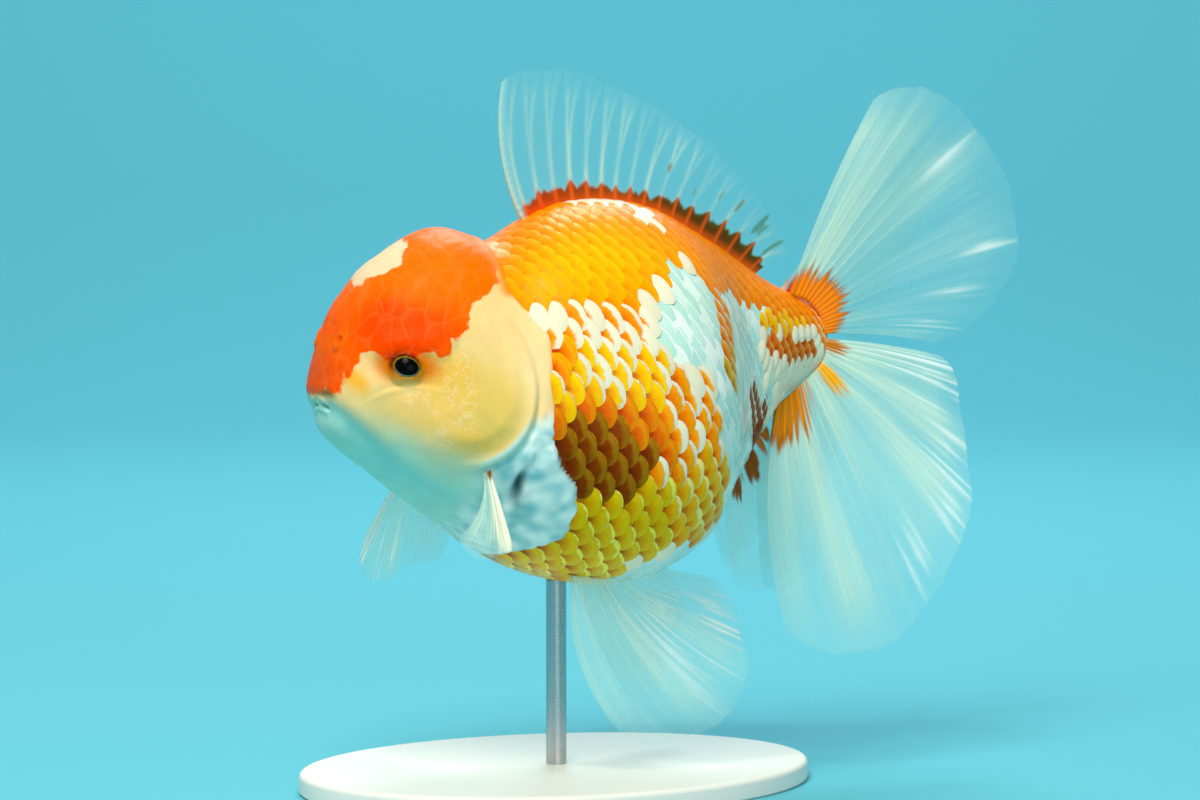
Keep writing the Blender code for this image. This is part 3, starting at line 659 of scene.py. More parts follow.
def eye_relief(out, a, points):
    """Each eye's hollow, brow, lids that lie over the ball, a fold below and a nostril in front, added to the
    relief so far; also the distance from the eye along its oval."""
    z, left = points[..., 2], -points[..., 1]
    eye_near = np.full(a.shape, 99.0)
    for side in (1, -1):
        middle, back, upward, outward = eye_frame(side)
        d = points - middle
        ex, ez = d @ back, d @ upward
        here = (left * side > 0) & (a < 30)
        r = np.where(here, np.hypot(ex + 0.3 * (ez - 0.2), 1.26 * (ez - 0.2)), 99.0)
        eye_near = np.minimum(eye_near, r)
        out = out * (1 - 0.8 * bell(r, 4.5)) - 0.40 * bell(r - 5.0, 1.9) * smooth(ez, 3.5, 0)
        out = out + np.where(here, 0.85 * bell(ex + 0.5, 5.5) * bell(ez - 4.6, 1.8), 0)
        out = out + 0.50 * bell(r - 2.84, 0.55)
        ball = np.sqrt(np.clip(EYE_RADIUS ** 2 - ex ** 2 - ez ** 2, 0, None)) - EYE_DEPTH - d @ outward
        over_ball = here & (np.hypot(ex, ez) < EYE_RADIUS)
        out = np.where(over_ball, np.maximum(out, ball + 0.34), out) - 2.8 * smooth(r, 2.52, 2.12)
        fold = ez + 3.1 + 0.030 * ex ** 2
        out = out + np.where(here, (0.3 * bell(fold + 0.7, 0.7) - 0.3 * bell(fold, 0.45)) * bell(ex, 5.5), 0)
        nostril = np.where(here, np.hypot(points[..., 1] + side * 5.2, z - 88.5), 99.0)
        out = out - 0.6 * bell(nostril, 0.7) + 0.45 * bell(nostril - 1.2, 0.6)
    return out, eye_near


def gill_relief(out, a, points):
    """The gill cover's raised rim and inner arch, the throat's groove and the crumpled bare breast, added to
    the relief so far."""
    z = points[..., 2]
    rim, low = gill_rim(a, z), 0.30 + 0.70 * smooth(z, 86, 74)
    at_side = smooth(a, 19, 26) * smooth(z, 58, 64)
    out = out + at_side * low * (0.66 * bell(rim - 0.945, 0.06) - 0.50 * bell(rim - 1.05, 0.04))
    out = out + 0.22 * smooth(a, 14, 20) * bell(rim - 0.66, 0.08) * smooth(z, 90, 84) * smooth(z, 62, 68)
    throat, front = above(a, z, THROAT_EDGE), smooth(a, 28, 20)
    out = out - 0.6 * bell(throat, 1.3) * front + 0.3 * bell(throat - 2.6, 1.5) * front
    breast = smooth(rim, 1, 1.08) * smooth(z, 75, 71) * smooth(z, 44, 50) * smooth(a, 24, 29)
    near, second = cells(points + 0.8 * clouds(points, 2.4)[..., None], 2.9)
    return out + breast * (0.40 * clouds(points, 3.4) + 0.22 * clouds(points, 1.5)
                           + 0.35 * np.sqrt(np.clip((second - near) / 2.2, 0, 1)) - 0.1)


def relief(a, points):
    """How far the skin stands out from the body surface, in mm: bells, steps and noise for the hood, the eyes,
    the mouth, the gill cover and the folds, less the coat's depth. Also the creases' width and the distance
    from the eye."""
    out, crease = hood_relief(a, points)
    out, eye_near = eye_relief(out, a, points)
    z, left = points[..., 2], points[..., 1]
    slit = z - (MOUTH_HEIGHT - 0.06 * left ** 2)
    mouth = smooth(np.abs(left), 4.4, 2.4) * smooth(a, 4, 1.6)
    out = out + mouth * (0.38 * bell(np.abs(slit) - 1, 0.7) - 0.8 * bell(slit, 0.34))
    out = gill_relief(out, a, points) - 2.2 * crevice(a, z)
    return out - COAT * coat_share(a, points), crease, eye_near


def make_skin():
    """The skin on a grid of rings along the body and turns round it: body surface plus relief. Closed by a pole
    at the snout, and at the tail by rings that shrink with a cosine while they move back with a sine."""
    head = np.linspace(0.004, 1, HEAD_RINGS) * HEAD_SHARE
    trunk = np.linspace(HEAD_SHARE, 1, TRUNK_RINGS + 1)[1:]
    u, angle = np.meshgrid(np.concatenate([head, trunk]), skin_angles(), indexing="ij")
    flesh = body(u, angle)
    a = np.interp(u, FINE, FINE_BEHIND)
    out, crease, eye_near = relief(a, flesh)
    rings = flesh + body_normal(u, angle) * (out * smooth(u, 0, 0.02))[..., None]
    last = rings[-1]
    middle = last.mean(0)
    back = placed(BODY_END + 1, 0.0, 0.0) - placed(BODY_END, 0.0, 0.0)
    turns = np.linspace(0, np.pi / 2, DOME_RINGS + 2)[1:-1]
    dome = [middle + (last - middle) * np.cos(t) + back * (END_DOME - COAT) * np.sin(t) for t in turns]
    rings = np.concatenate([rings, dome])
    rows, columns = rings.shape[:2]
    poles = [placed(0.0, np.array(0.0), STATIONS[0, 1]), middle + back * (END_DOME - COAT)]
    points = np.concatenate([rings.reshape(-1, 3), poles])

    def on_dome(values):
        """The last ring's values, repeated on the rings of the dome."""
        return np.concatenate([values, np.repeat(values[-1:], DOME_RINGS, 0)])

    def with_poles(values):
        """One row a point, with the first and the last again for the two poles."""
        flat = values.reshape(-1, values.shape[-1])
        return np.concatenate([flat, flat[:1], flat[-1:]])

    def coloured(values):
        """Red, green and blue with 1 for alpha."""
        return with_poles(np.concatenate([values, np.ones(values.shape[:2] + (1,))], -1))

    a, flesh, crease, eye_near = (on_dome(values) for values in (a, flesh, crease, eye_near))
    crease[-DOME_RINGS:] = 9
    angle = np.concatenate([angle, angle[:DOME_RINGS]])
    tint, hood = skin_tints(a, angle, flesh, eye_near)
    fields = np.stack([hood_depth(a, angle, flesh), crease, cheek_lace(a, flesh[..., 2])], -1)
    fields = with_poles(fields)
    fields[-2] = (-5, 9, 0)
    faces = capped(rows, columns)
    row, column = np.divmod(np.arange(len(faces[0])), columns)
    corner = np.array([[0, 0], [0, 1], [1, 1], [1, 0]])
    uv = [np.stack([column, row], -1)[:, None] + corner]
    for across, down in (((0.5, 1, 0), (-0.8, 0, 0)), ((0.5, 0, 1), (rows - 0.2, rows - 1, rows - 1))):
        uv.append(np.stack(np.broadcast_arrays(np.arange(columns)[:, None] + across, down), -1))
    make_piece("skin", points, faces, skin_material(), "skin",
               ["head", "hood", "gill_cover_left", "gill_cover_right", "trunk", "tail_stalk"],
               [0.02 + 0.96 * part / (columns, rows) for part in uv],
               tint=coloured(tint), hood=coloured(hood), fields=fields)


# ---- the eyes -----------------------------------------------------------------------------------------------
EYE_ROWS, EYE_TURNS = 72, 96
PUPIL = (2.25, 1.6)       # half length and half height
PUPIL_TILT = np.radians(-20)


def make_eye(side, name):
    """A ball about the eye's own axis, with a clear cornea that bulges a little over the pupil."""
    middle, back, upward, outward = eye_frame(side)
    polar, turn = np.meshgrid(np.linspace(0, np.pi, EYE_ROWS + 2)[1:-1],
                              np.linspace(0, 2 * np.pi, EYE_TURNS, endpoint=False), indexing="ij")
    ball = np.stack([np.sin(polar) * np.cos(turn), np.sin(polar) * np.sin(turn), np.cos(polar)], -1)
    ball = np.concatenate([ball.reshape(-1, 3), [[0, 0, 1], [0, 0, -1]]])
    bulge = 0.28 * bell(np.hypot(ball[:, 0], ball[:, 1]) * EYE_RADIUS, 2.4) * (ball[:, 2] > 0)
    local = ball * (EYE_RADIUS + bulge)[:, None]
    points = (middle - outward * EYE_DEPTH + local[:, :1] * back + local[:, 1:2] * upward
              + local[:, 2:] * outward)
    c, s = np.cos(PUPIL_TILT), np.sin(PUPIL_TILT)
    x, y = local[:, 0] * c + local[:, 1] * s, local[:, 1] * c - local[:, 0] * s
    oval = np.hypot((x - 0.05) / PUPIL[0], (y - 0.15) / PUPIL[1]) + 9 * (local[:, 2] < 0)
    make_piece(name, points, capped(EYE_ROWS, EYE_TURNS), eye_material(), "eye",
               ["eye_left" if side > 0 else "eye_right"], places=np.stack([oval, local[:, 1], 0 * oval], -1))


# ---- the coat of scales -------------------------------------------------------------------------------------
COAT_FROM = 27            # mm behind the snout, where the coat's tables begin
ALONG_STEPS, HEIGHT_STEPS, HEIGHT_SPAN = 420, 400, 100
ROW_SPAN, ROW_STEP = 40, 0.1
SCALE_UV = 0.0013         # half a scale's patch, of the map's width
SCALE_OVAL = 0.62         # how much less a scale's colours spread sideways than back


def coat_tables():
    """Where rows and columns of scales lie: columns at equal pitches of the arc along the flank and along the
    back, rows at equal pitches of the arc round each section from the lateral line."""
    stations = np.linspace(COAT_FROM, BODY_END, ALONG_STEPS + 1)
    angles = np.radians(np.linspace(-34, 214, 249))
    grid = body(np.interp(stations, FINE_BEHIND, FINE)[:, None], angles[None, :])
    girth = running(np.linalg.norm(np.diff(grid, axis=1), axis=2).T).T
    lateral = np.array([np.interp(LATERAL, angles, row) for row in girth])
    heights = np.linspace(-HEIGHT_SPAN, HEIGHT_SPAN, HEIGHT_STEPS + 1)
    turns = np.array([np.interp(-heights, row - middle, angles) for row, middle in zip(girth, lateral)])
    flank, back = (
        running(np.linalg.norm(np.diff(grid[:, np.argmin(np.abs(angles - np.radians(t)))], axis=0), axis=1)
                / np.interp(stations[1:], COLUMN_PITCH[:, 0], COLUMN_PITCH[:, k]))
        for t, k in ((100, 1), (30, 2)))
    rows = np.linspace(-ROW_SPAN, ROW_SPAN, round(2 * ROW_SPAN / ROW_STEP) + 1)
    side, top, keel = ROW_PITCH
    step = np.where(rows > 0, side + (top - side) * smooth(rows, 5, 18),
                    side + (keel - side) * smooth(-rows, 8, 20))
    row_arc = running((step[1:] + step[:-1]) / 2 * ROW_STEP)
    return stations, turns, flank, back, rows, row_arc - np.interp(0, rows, row_arc)


COAT_TABLES = coat_tables()


def coat_place(column, row):
    """Station and angle of a place in the coat; columns lean from the flank's spacing to the back's."""
    stations, turns, flank, back, rows, row_arc = COAT_TABLES
    up = smooth(row, 0, 14)
    a = (1 - up) * np.interp(column, flank, stations) + up * np.interp(column, back, stations)
    height = np.interp(row, rows, row_arc) * np.interp(a, *ROW_NARROW.T)
    along = (a - COAT_FROM) / (BODY_END - COAT_FROM) * ALONG_STEPS
    return a, look_up(turns, along, (height + HEIGHT_SPAN) * (HEIGHT_STEPS / 2 / HEIGHT_SPAN))


def scale_roots(side, draw):
    """Where the scales of one flank sit: every second place of a slightly shaken grid, as bricks are laid."""
    last = max(COAT_TABLES[2][-1], COAT_TABLES[3][-1])
    column, row = np.meshgrid(np.arange(0, int(last) + 1), np.arange(-24, 28), indexing="ij")
    keep = (column + row) % 2 == 0
    column = column[keep] + draw.uniform(-0.035, 0.035, keep.sum())
    row = row[keep] + draw.uniform(-0.03, 0.03, keep.sum())
    a, turn = coat_place(column + 0.3, row)
    root = on_body(a, side * turn, np.zeros(a.shape))
    fits = ((turn > np.radians(-3)) & (turn < np.radians(183)) & (a < BODY_END - 0.6)
            & (coat_share(a, root) > 0.5))
    return column[fits], row[fits], a[fits], turn[fits], root[fits]


def scale_outline():
    """One scale seen from above: rings of a rounded oval about its middle, then the middle of its underside;
    and how far out each point lies."""
    ring, way = np.meshgrid(SCALE_RINGS, np.linspace(0, 2 * np.pi, SCALE_ROUND, endpoint=False), indexing="ij")
    x, y = (np.pad((ring * np.sign(v) * np.abs(v) ** SCALE_SQUARE).ravel(), 1)
            for v in (np.cos(way), np.sin(way)))
    return x, y, np.pad(ring.ravel(), 1)


def make_scales(side, name):
    """One flank's scales: each is a dome over an oval in rows and columns of the coat, tilted so that its rear
    edge lies on the next ones, and closed underneath by a shallow cone. Each keeps the colours of its root."""
    draw = np.random.default_rng(11 if side > 0 else 12)
    column, row, a, turn, root = scale_roots(side, draw)
    share, colour, rim, stand = body_marks(a, side * turn, root, 0.05)
    # How strong each scale's painted shade and painted highlight are: weaker high on the back, varied per scale
    deep = mix(0.35, 1.0, smooth(root[:, 2], 100, 84)) * draw.uniform(0.7, 1.15, len(a))
    share = np.clip(share + (draw.random(len(a)) - 0.5) * 0.5 * (share * (1 - share) * 4), 0, 1)

    x, y, rho = scale_outline()
    under = (np.arange(len(x)) == len(x) - 1) * 1.0
    size = 1 + draw.uniform(-0.03, 0.03, (len(a), 1))
    X, Y = x * size, y * size
    tilt = SCALE_TILT * (X + 1) / 2 * (1 + draw.uniform(-0.15, 0.15, (len(a), 1)))
    dome = SCALE_DOME * (1 - rho ** 2) ** 0.8 * smooth(X, -0.8, 0.2) * (1 - under)
    lift = 0.04 + stand[:, None] * (tilt + dome) - under * (SCALE_THICK + 0.1)
    va, vt = coat_place(column[:, None] + X * np.where(X > 0, SCALE_REAR, SCALE_FRONT),
                        row[:, None] + SCALE_SIDE * Y)
    points = on_body(va, side * vt, lift - COAT)

    n = len(x)
    first = 1 + np.arange(len(SCALE_RINGS) * SCALE_ROUND).reshape(len(SCALE_RINGS), -1)
    tris = np.concatenate([fan(0, first[0])[:, ::-1], fan(n - 1, first[-1])])
    shift = (np.arange(len(a)) * n)[:, None, None]
    faces = [(ring_faces(*first.shape) + 1 + shift).reshape(-1, 4), (tris + shift).reshape(-1, 3)]
    spot = np.stack([a / BODY_END * 0.94 + 0.03, 0.5 + side * (0.03 + 0.44 * turn / np.pi)], -1)
    uv = (spot[:, None, :] + np.stack([x, y], -1) * SCALE_UV).reshape(-1, 2)

    def spread(*values):
        """Values of each scale side by side, given to all its points."""
        return np.repeat(np.column_stack(values), n, axis=0)

    shades = 1 + 0.12 * (draw.random((len(a), 1)) - 0.5)
    colour, rim = colour * shades, rim * shades
    # A darker copy of the pigment for painted shade, partly deeper pigment, and a lighter, yellower copy for a
    # painted highlight
    dark = mix(colour, colour * (0.55, 0.17, 0.05), np.clip(deep, 0, 1))
    bright = (0.86 * colour + 0.14 * rgb("FFD42C")) * (1, 1.24, 1)
    place = np.broadcast_arrays((x + 0.6) / 1.6, SCALE_OVAL * y, np.zeros((len(a), n)))
    # The rim colour's alpha sets how strong the painted highlight just inside the rim is
    obj = make_piece(name, points.reshape(-1, 3), faces, scale_material(), "skin", [], [uv[f] for f in faces],
                     place=np.stack(place, -1).reshape(-1, 3), pigment=spread(colour, 0.06 + 1.02 * share),
                     dark=spread(dark, deep), bright=spread(bright),
                     edge=spread(rim, 0.75 * smooth(stand, 0.5, 0.3)))
    obj.data.set_sharp_from_angle(angle=np.radians(75))


# ---- the fins -----------------------------------------------------------------------------------------------
# Each fin: its name, the rows of its solid, pleat height, pleats and shift, then rays, points across a ray,
# points along, where along a ray it first splits, height of fine folds, the thick leading ray (place across,
# half width, thickness), how ragged the margin is, opacity of the membrane at even steps across the fan, how
# much the rays add, and its spots. A name with "right" in it is on the right side; the others are on the left.
# A spot: place across, place along, half width, half length, opacity, how streaky, colour
# Spots coloured "glint" are painted highlights: pale streaks along the rays
FINS = [
    ("dorsal", DORSAL, 0.8, 1.5, 0.1, 17, 14, 60, 0.42, 0.1, (0, 0.02, 0.55), 0.05,
     (0.12, 0.08, 0.08, 0.08, 0.06), 0.85, [
        (0.555, 0.52, 0.008, 0.1, 0.7, 0.5, "A07A20"), (0.66, 0.44, 0.007, 0.09, 0.6, 0.6, "7A8420"),
        (0.74, 0.62, 0.008, 0.14, 0.7, 0.8, "7A8420"), (0.8, 0.7, 0.008, 0.14, 0.7, 0.8, "8A7A18"),
        (0.89, 0.7, 0.012, 0.3, 0.6, 0.8, "5E8A3A"), (0.96, 0.74, 0.012, 0.3, 0.6, 0.8, "5E8A3A")]),
    ("pectoral_left", PECTORAL_LEFT, 0.5, 2, 0, 10, 12, 40, 0.55, 0.08,
     (0.08, 0.16, 0.85), 0.05, (0.7, 0.55, 0.45, 0.5), 0.3, [
        (0.1, 0.35, 0.46, 0.95, 0.98, 0.1, "FBF2DA"), (0.2, 0.03, 0.3, 0.09, 0.99, 0.4, "bark")]),
    ("pectoral_right", PECTORAL_RIGHT, 0.5, 2, 0, 12, 12, 44, 0.5, 0.1,
     (0, 0.06, 0.4), 0.05, (0.8, 0.62, 0.55, 0.55, 0.55), 0.22, [
        (0.02, 0.55, 0.14, 0.7, 0.85, 0.6, "EAF3E8"), (0.35, 0.8, 0.16, 0.4, 0.8, 1, "glint")]),
    ("pelvic_left", PELVIC_LEFT, 1, 2, 0.2, 14, 14, 56, 0.38, 0.22,
     (0, 0.03, 0.25), 0.05, (0.46, 0.36, 0.46, 0.38, 0.38, 0.46), 0.3, [
        (0.8, 0.72, 0.2, 0.42, 0.85, 1, "glint"), (0.45, 0.55, 0.14, 0.5, 0.6, 1, "glint")]),
    ("pelvic_right", PELVIC_RIGHT, 1, 2, 0.2, 13, 14, 56, 0.38, 0.22,
     (0, 0.03, 0.25), 0.05, (0.36, 0.32, 0.42, 0.38, 0.34, 0.4), 0.3, [
        (0.7, 0.72, 0.25, 0.42, 0.75, 1, "glint")]),
    ("anal_left", ANAL_LEFT, 0.5, 1.5, 0, 8, 12, 40, 0.5, 0.1,
     (0, 0.05, 0.25), 0.05, (0.4, 0.36, 0.34, 0.34), 0.15, [
        (0.25, 0.13, 0.17, 0.16, 0.99, 0.4, "bark"), (0.6, 0.15, 0.15, 0.16, 0.99, 0.4, "bark"),
        (0.95, 0.1, 0.18, 0.26, 0.99, 0.4, "rust")]),
    ("anal_right", ANAL_RIGHT, 0.5, 1.5, 0, 8, 12, 40, 0.5, 0.1,
     (0, 0.05, 0.25), 0.05, (0.4, 0.36, 0.34, 0.34), 0.15, [
        (0.1, 0.1, 0.12, 0.1, 0.99, 0.4, "burnt")]),
    ("tail_left_upper", TAIL_UPPER_LEFT, 1.2, 1.6, 0.1, 16, 14, 72, 0.34, 0.2,
     (0, 0.03, 0.3), 0.04, (0.66, 0.6, 0.52, 0.38, 0.26, 0.21, 0.23, 0.29, 0.38), 0.2, [
        (0.34, 0.8, 0.04, 0.26, 0.75, 0.5, "glint"), (0.62, 0.84, 0.03, 0.2, 0.7, 0.5, "glint"),
        (0.76, 0.74, 0.035, 0.3, 0.7, 0.6, "glint"), (0.9, 0.7, 0.06, 0.3, 0.6, 1, "glint"),
        (0.5, 0, 0.9, 0.175, 0.99, 0.35, "bark"), (0.48, 0, 0.9, 0.15, 0.99, 0.35, "orange")]),
    ("tail_left_lower", TAIL_LOWER_LEFT, 1.4, 2.2, 0.3, 20, 14, 72, 0.32, 0.22,
     (1, 0.03, 0.25), 0.04, (0.74, 0.68, 0.61, 0.54, 0.51, 0.54, 0.64), 0.22, [
        (0.12, 0.75, 0.13, 0.6, 0.85, 1, "glint"), (0.32, 0.85, 0.1, 0.22, 0.75, 1, "glint"),
        (0.48, 0.88, 0.08, 0.16, 0.7, 1, "glint"), (0.62, 0.84, 0.05, 0.18, 0.6, 1, "glint"),
        (0.11, 0.04, 0.12, 0.15, 0.99, 0.4, "rust"), (0.48, 0.06, 0.1, 0.13, 0.99, 0.4, "gold"),
        (0.92, 0.05, 0.2, 0.17, 0.99, 0.35, "rust"), (0.9, 0.02, 0.18, 0.14, 0.99, 0.35, "EE8A00")]),
    ("tail_right_upper", TAIL_UPPER_RIGHT, 1.2, 1.6, 0.1, 15, 14, 72, 0.34, 0.2,
     (0, 0.03, 0.3), 0.04, (0.44, 0.36, 0.28, 0.24, 0.28, 0.32), 0.2, [
        (0.3, 0.85, 0.08, 0.2, 0.6, 1, "glint"), (0.45, 0, 0.8, 0.13, 0.99, 0.35, "orange")]),
    ("tail_right_lower", TAIL_LOWER_RIGHT, 1.4, 2.2, 0.3, 18, 14, 72, 0.32, 0.22,
     (1, 0.03, 0.25), 0.04, (0.5, 0.46, 0.4, 0.38, 0.38, 0.4), 0.2, [
        (0.2, 0.8, 0.12, 0.3, 0.7, 1, "glint"), (0.25, 0.04, 0.22, 0.13, 0.99, 0.4, "orange")]),
]
# Height in mm of the dark band at the foot of the dorsal fin, across the fan
DORSAL_BAND = np.array([[0, 1.6], [0.04, 3], [0.1, 3.9], [0.2, 3.6], [0.36, 2.5], [0.5, 2.5], [0.65, 3.4],
                        [0.8, 4.4], [0.92, 4.2], [1, 2.4]])
MEMBRANE, FLESHY, RAY_THICK = 0.09, 0.3, 0.09     # half thicknesses: between rays, at the root, added by a ray
RAY_WIDTH = 0.2
RAY_JOINT = 0.6           # mm between the joints of a ray


def fan_sheet(rows, side, pleat, count, shift, t, s, stretch):
    """The middle sheet of a fin, as in the solids: every ray is an arc that turns steadily in lean and in
    splay, here with its own length, and raised in pleats that are sines across the fan."""
    rows = np.array(rows, float)
    _, behind, left, z, lean, curl, splay, flare, length = (spline(rows[:, 0], c, t)[:, None] for c in rows.T)
    turn, open_ = np.radians(lean + curl * s), np.radians(splay + flare * s)
    way = np.stack([np.sin(turn) * np.cos(open_), np.sin(open_), np.cos(turn) * np.cos(open_)])
    middle = (way[..., 1:] + way[..., :-1]) / 2 * np.diff(s) * length * stretch
    a, l, z = np.concatenate([np.zeros_like(way[..., :1]), np.cumsum(middle, -1)], -1) + np.stack(
        [behind, left, z])
    l = l + pleat * s ** PLEAT_POWER * np.sin(2 * np.pi * (count * t[:, None] + shift))
    return placed(a, side * l, z)


def dorsal_band(T, S, x, rays, length):
    """The dark band at the dorsal fin's foot, below a wandering line of heights: how strong it is, and its
    colour, browner and greener to the rear with a red line along each ray."""
    top = np.interp(T, *DORSAL_BAND.T) + 0.8 + 0.9 * clouds(np.stack([T * rays * 5, S * 3, T * 0], -1), 1.0)
    top = top + (0.6 + 0.9 * T) * bell(x, 0.2)
    ray_line = bell(x, 0.09 + 0.05 * (T < 0.5))
    shade = mix(rgb("A83E00"), rgb("5E3C04"), smooth(T, 0.1, 0.7))
    for paint, share in (("E05A04", 0.75 * smooth(length, 3.2, 1)),
                         ("4E6A10", 0.7 * smooth(length - top, -1.6, 0.4) * smooth(T, 0.3, 0.8)),
                         ("E85C08", (0.9 - 0.2 * smooth(length - top, -2, 1)) * ray_line),
                         ("E84400", 0.7 * smooth(T, 0.25, 0.05) * smooth(length, 4, 1))):
        shade = mix(shade, rgb(paint), share)
    return smooth(top - length, -0.5, 0.6) * smooth(T, 0, 0.03), shade


def fin_faces(m, k):
    """Quads of a fin's front and rear sheets and of the rim between them, and how many are the rim's."""
    at = np.arange(m * k).reshape(m, k)
    grid = np.stack([at[:-1, :-1], at[1:, :-1], at[1:, 1:], at[:-1, 1:]], -1).reshape(-1, 4)
    edge = np.concatenate([at[0, :-1], at[:-1, -1], at[-1, :0:-1], at[:0:-1, 0]])
    following = np.roll(edge, -1)
    rim = np.stack([edge, following, following + m * k, edge + m * k], -1)
    return np.concatenate([grid, grid[:, ::-1] + m * k, rim]), len(rim)


def make_fin(name, rows, pleat, count, shift, rays, cells_across, along, split, fold, lead, ragged, veil, line,
             spots):
    """A thin closed sheet. Across it lie the rays, each a bell-shaped ridge that splits in two and in four:
    the distance to a branch is |x| folded about 1/4 and then 1/8 of a ray's width as the splits open.
    The margin is scalloped between the tips, and pigment runs out along the rays in streaks."""
    draw = np.random.default_rng(sum(map(ord, name)))
    kind = name.split("_")[0]
    dorsal = kind == "dorsal"
    t = np.linspace(0, 1, rays * cells_across + 1)
    s = np.linspace(0, 1, along + 1)
    T, S = np.meshgrid(t, s, indexing="ij")
    ray = np.clip((T * rays).astype(int), 0, rays - 1)
    x = T * rays - ray - 0.5
    first = split + 0.10 * (draw.random(rays)[ray] - 0.5)
    g1 = np.clip((S - first) / (1 - first), 0, 1)
    g2 = np.clip((S - first - 0.3) / (0.7 - first), 0, 1)
    branch = np.abs(np.abs(np.abs(x) - 0.25 * g1) - 0.125 * g2)
    tips = draw.random(rays + 1)
    long = (np.interp(t * rays, np.arange(rays + 1), tips)
            + 0.5 * np.sin(2 * np.pi * 1.7 * t + 6 * draw.random()))
    stretch = 1 - ragged * (0.5 * long + 0.15 * (1 - np.cos(2 * np.pi * t * rays)) / 2
                            + 0.12 * (1 - np.cos(8 * np.pi * t * rays)) / 2)
    stretch = (stretch - 0.07 * (np.exp(-t / 0.025) + np.exp((t - 1) / 0.025)))[:, None]
    sheet = fan_sheet(rows, -1 if "right" in name else 1, pleat, count, shift, t, s, stretch)
    da, db = np.gradient(sheet, axis=0), np.gradient(sheet, axis=1)
    width = np.linalg.norm(da, axis=-1) * cells_across
    n = np.cross(da, db)
    n = n / np.linalg.norm(n, axis=-1, keepdims=True)
    broad = RAY_WIDTH * (1.25 - 0.55 * S) * (2.3 if dorsal else 1.2)
    strength = bell(branch * width / broad, 1)
    wave = np.sin(2 * np.pi * (T * rays / 3.3 + draw.random())) * 0.6 + clouds(sheet, 9.0)
    middle = fold * S * (np.cos(2 * np.pi * x) * 0.3 + 2.4 * wave * S)
    place, spread, thick = lead
    leading = bell((T - place) / spread, 1)
    notch = 1 + 0.35 * np.sin(2 * np.pi * S * along / 3.0) * dorsal
    half = (MEMBRANE + FLESHY * smooth(S, 0.16, 0) + RAY_THICK * strength * (1.1 - 0.6 * S)
            + thick * leading * (1.05 - 0.75 * S) * np.where(leading > 0.05, notch, 1))
    half = half * smooth(S, 1.02, 0.90) + 0.05
    front, rear = sheet + n * (middle + half)[..., None], sheet + n * (middle - half)[..., None]

    drape, streak, fine = (clouds(np.stack([T * rays * across, S * down, T * 0], -1) + draw.random(), 1.0)
                           for across, down in ((0.55, 1.3), (1.6, 3.0), (4.5, 1.6)))
    film = np.interp(T, np.linspace(0, 1, len(veil)), veil)
    opaque = film * (1.10 - 0.35 * S + 0.25 * drape + 0.14 * streak + 0.10 * fine)
    opaque = opaque + line * strength * (1 - 0.65 * S) * (0.75 + 0.4 * streak)
    opaque = np.clip(opaque * (1 - 0.5 * smooth(S, 0.75, 1)), 0.02, 0.95)
    opaque = np.maximum(opaque, 0.85 * smooth(S, 0.12, 0))
    opaque = np.maximum(opaque, 0.95 * leading * (1 - 0.4 * S) * smooth(thick, 0.2, 0.6))
    colour = mix(rgb("A2DAD6"), rgb("D8EEDA"), np.clip(1.2 * opaque + 0.2 * drape, 0, 1))
    # Spots of pigment, and "glint" spots of painted highlight
    for at, reach, half_width, half_length, solid, grain, paint in spots:
        deep = 1 - np.hypot((T - at) / half_width, (S - reach) / half_length) + grain * (fine - 0.2)
        on = smooth(deep, 0, 1.1 if paint == "glint" else 0.3)
        hue = rgb("F8FCF8") if paint == "glint" else rgb(paint) * (0.85 + 0.3 * strength[..., None])
        colour, opaque = mix(colour, hue, on), mix(opaque, np.maximum(opaque, solid), on)
    if dorsal:
        band, shade = dorsal_band(T, S, x, rays, np.cumsum(np.linalg.norm(db, axis=-1), axis=1))
        colour, opaque = mix(colour, shade, band), mix(opaque, 0.995, band)
    # The sheet has two faces, and light passes both
    tint = np.concatenate([colour, (1 - np.sqrt(1 - opaque))[..., None]], -1).reshape(-1, 4)

    faces, rim = fin_faces(*sheet.shape[:2])
    flat = np.stack([T, S * 0.46 + 0.02], -1).reshape(-1, 2) * (0.96, 1) + (0.02, 0)
    corner_uv = np.concatenate([flat, flat + (0, 0.5)])[faces]
    corner_uv[-rim:, :, 1] = np.clip(corner_uv[-rim:, :, 1], 0, 0.49)
    length = np.linalg.norm(np.diff(sheet, axis=1), axis=-1).sum(1).mean()
    lines = np.stack([S * length / RAY_JOINT, 0.08 * strength, S * 0], -1).reshape(-1, 3)
    make_piece(name, np.concatenate([front.reshape(-1, 3), rear.reshape(-1, 3)]), [faces], fin_material(),
               "fin", [name.replace(kind, kind + "_fin")], [corner_uv], tint=np.concatenate([tint, tint]),
               lines=np.concatenate([lines, lines]))


# ---- the stand ----------------------------------------------------------------------------------------------
PLATE_TURNS, POST_TURNS = 160, 64
PLATE_EDGE, PLATE_CHAMFER = 1.0, 0.4
POST_RINGS = 12


def make_turned(name, node, turns, material, slot, sharp, profile):
    """An oval turned piece round a node's box: each point of its profile gives a distance in from the outline
    and a height, and a pole closes each end. Edges sharper than `sharp` degrees stay crisp."""
    low, high = (np.array(corner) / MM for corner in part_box(node))
    centre, halves = (low + high) / 2, (high - low) / 2
    way = np.linspace(0, 2 * np.pi, turns, endpoint=False)
    inset, height = np.array(profile(low[2], high[2], halves[1])).T[:, :, None]
    rings = np.stack([centre[0] + np.cos(way) * (halves[0] - inset),
                      centre[1] + np.sin(way) * (halves[1] - inset),
                      np.broadcast_to(height, (len(height), turns))], -1)
    points = np.concatenate([rings.reshape(-1, 3), [rings[0].mean(0), rings[-1].mean(0)]])
    piece = make_piece(name, points, capped(*rings.shape[:2]), material, slot, [node])
    piece.data.set_sharp_from_angle(angle=np.radians(sharp))


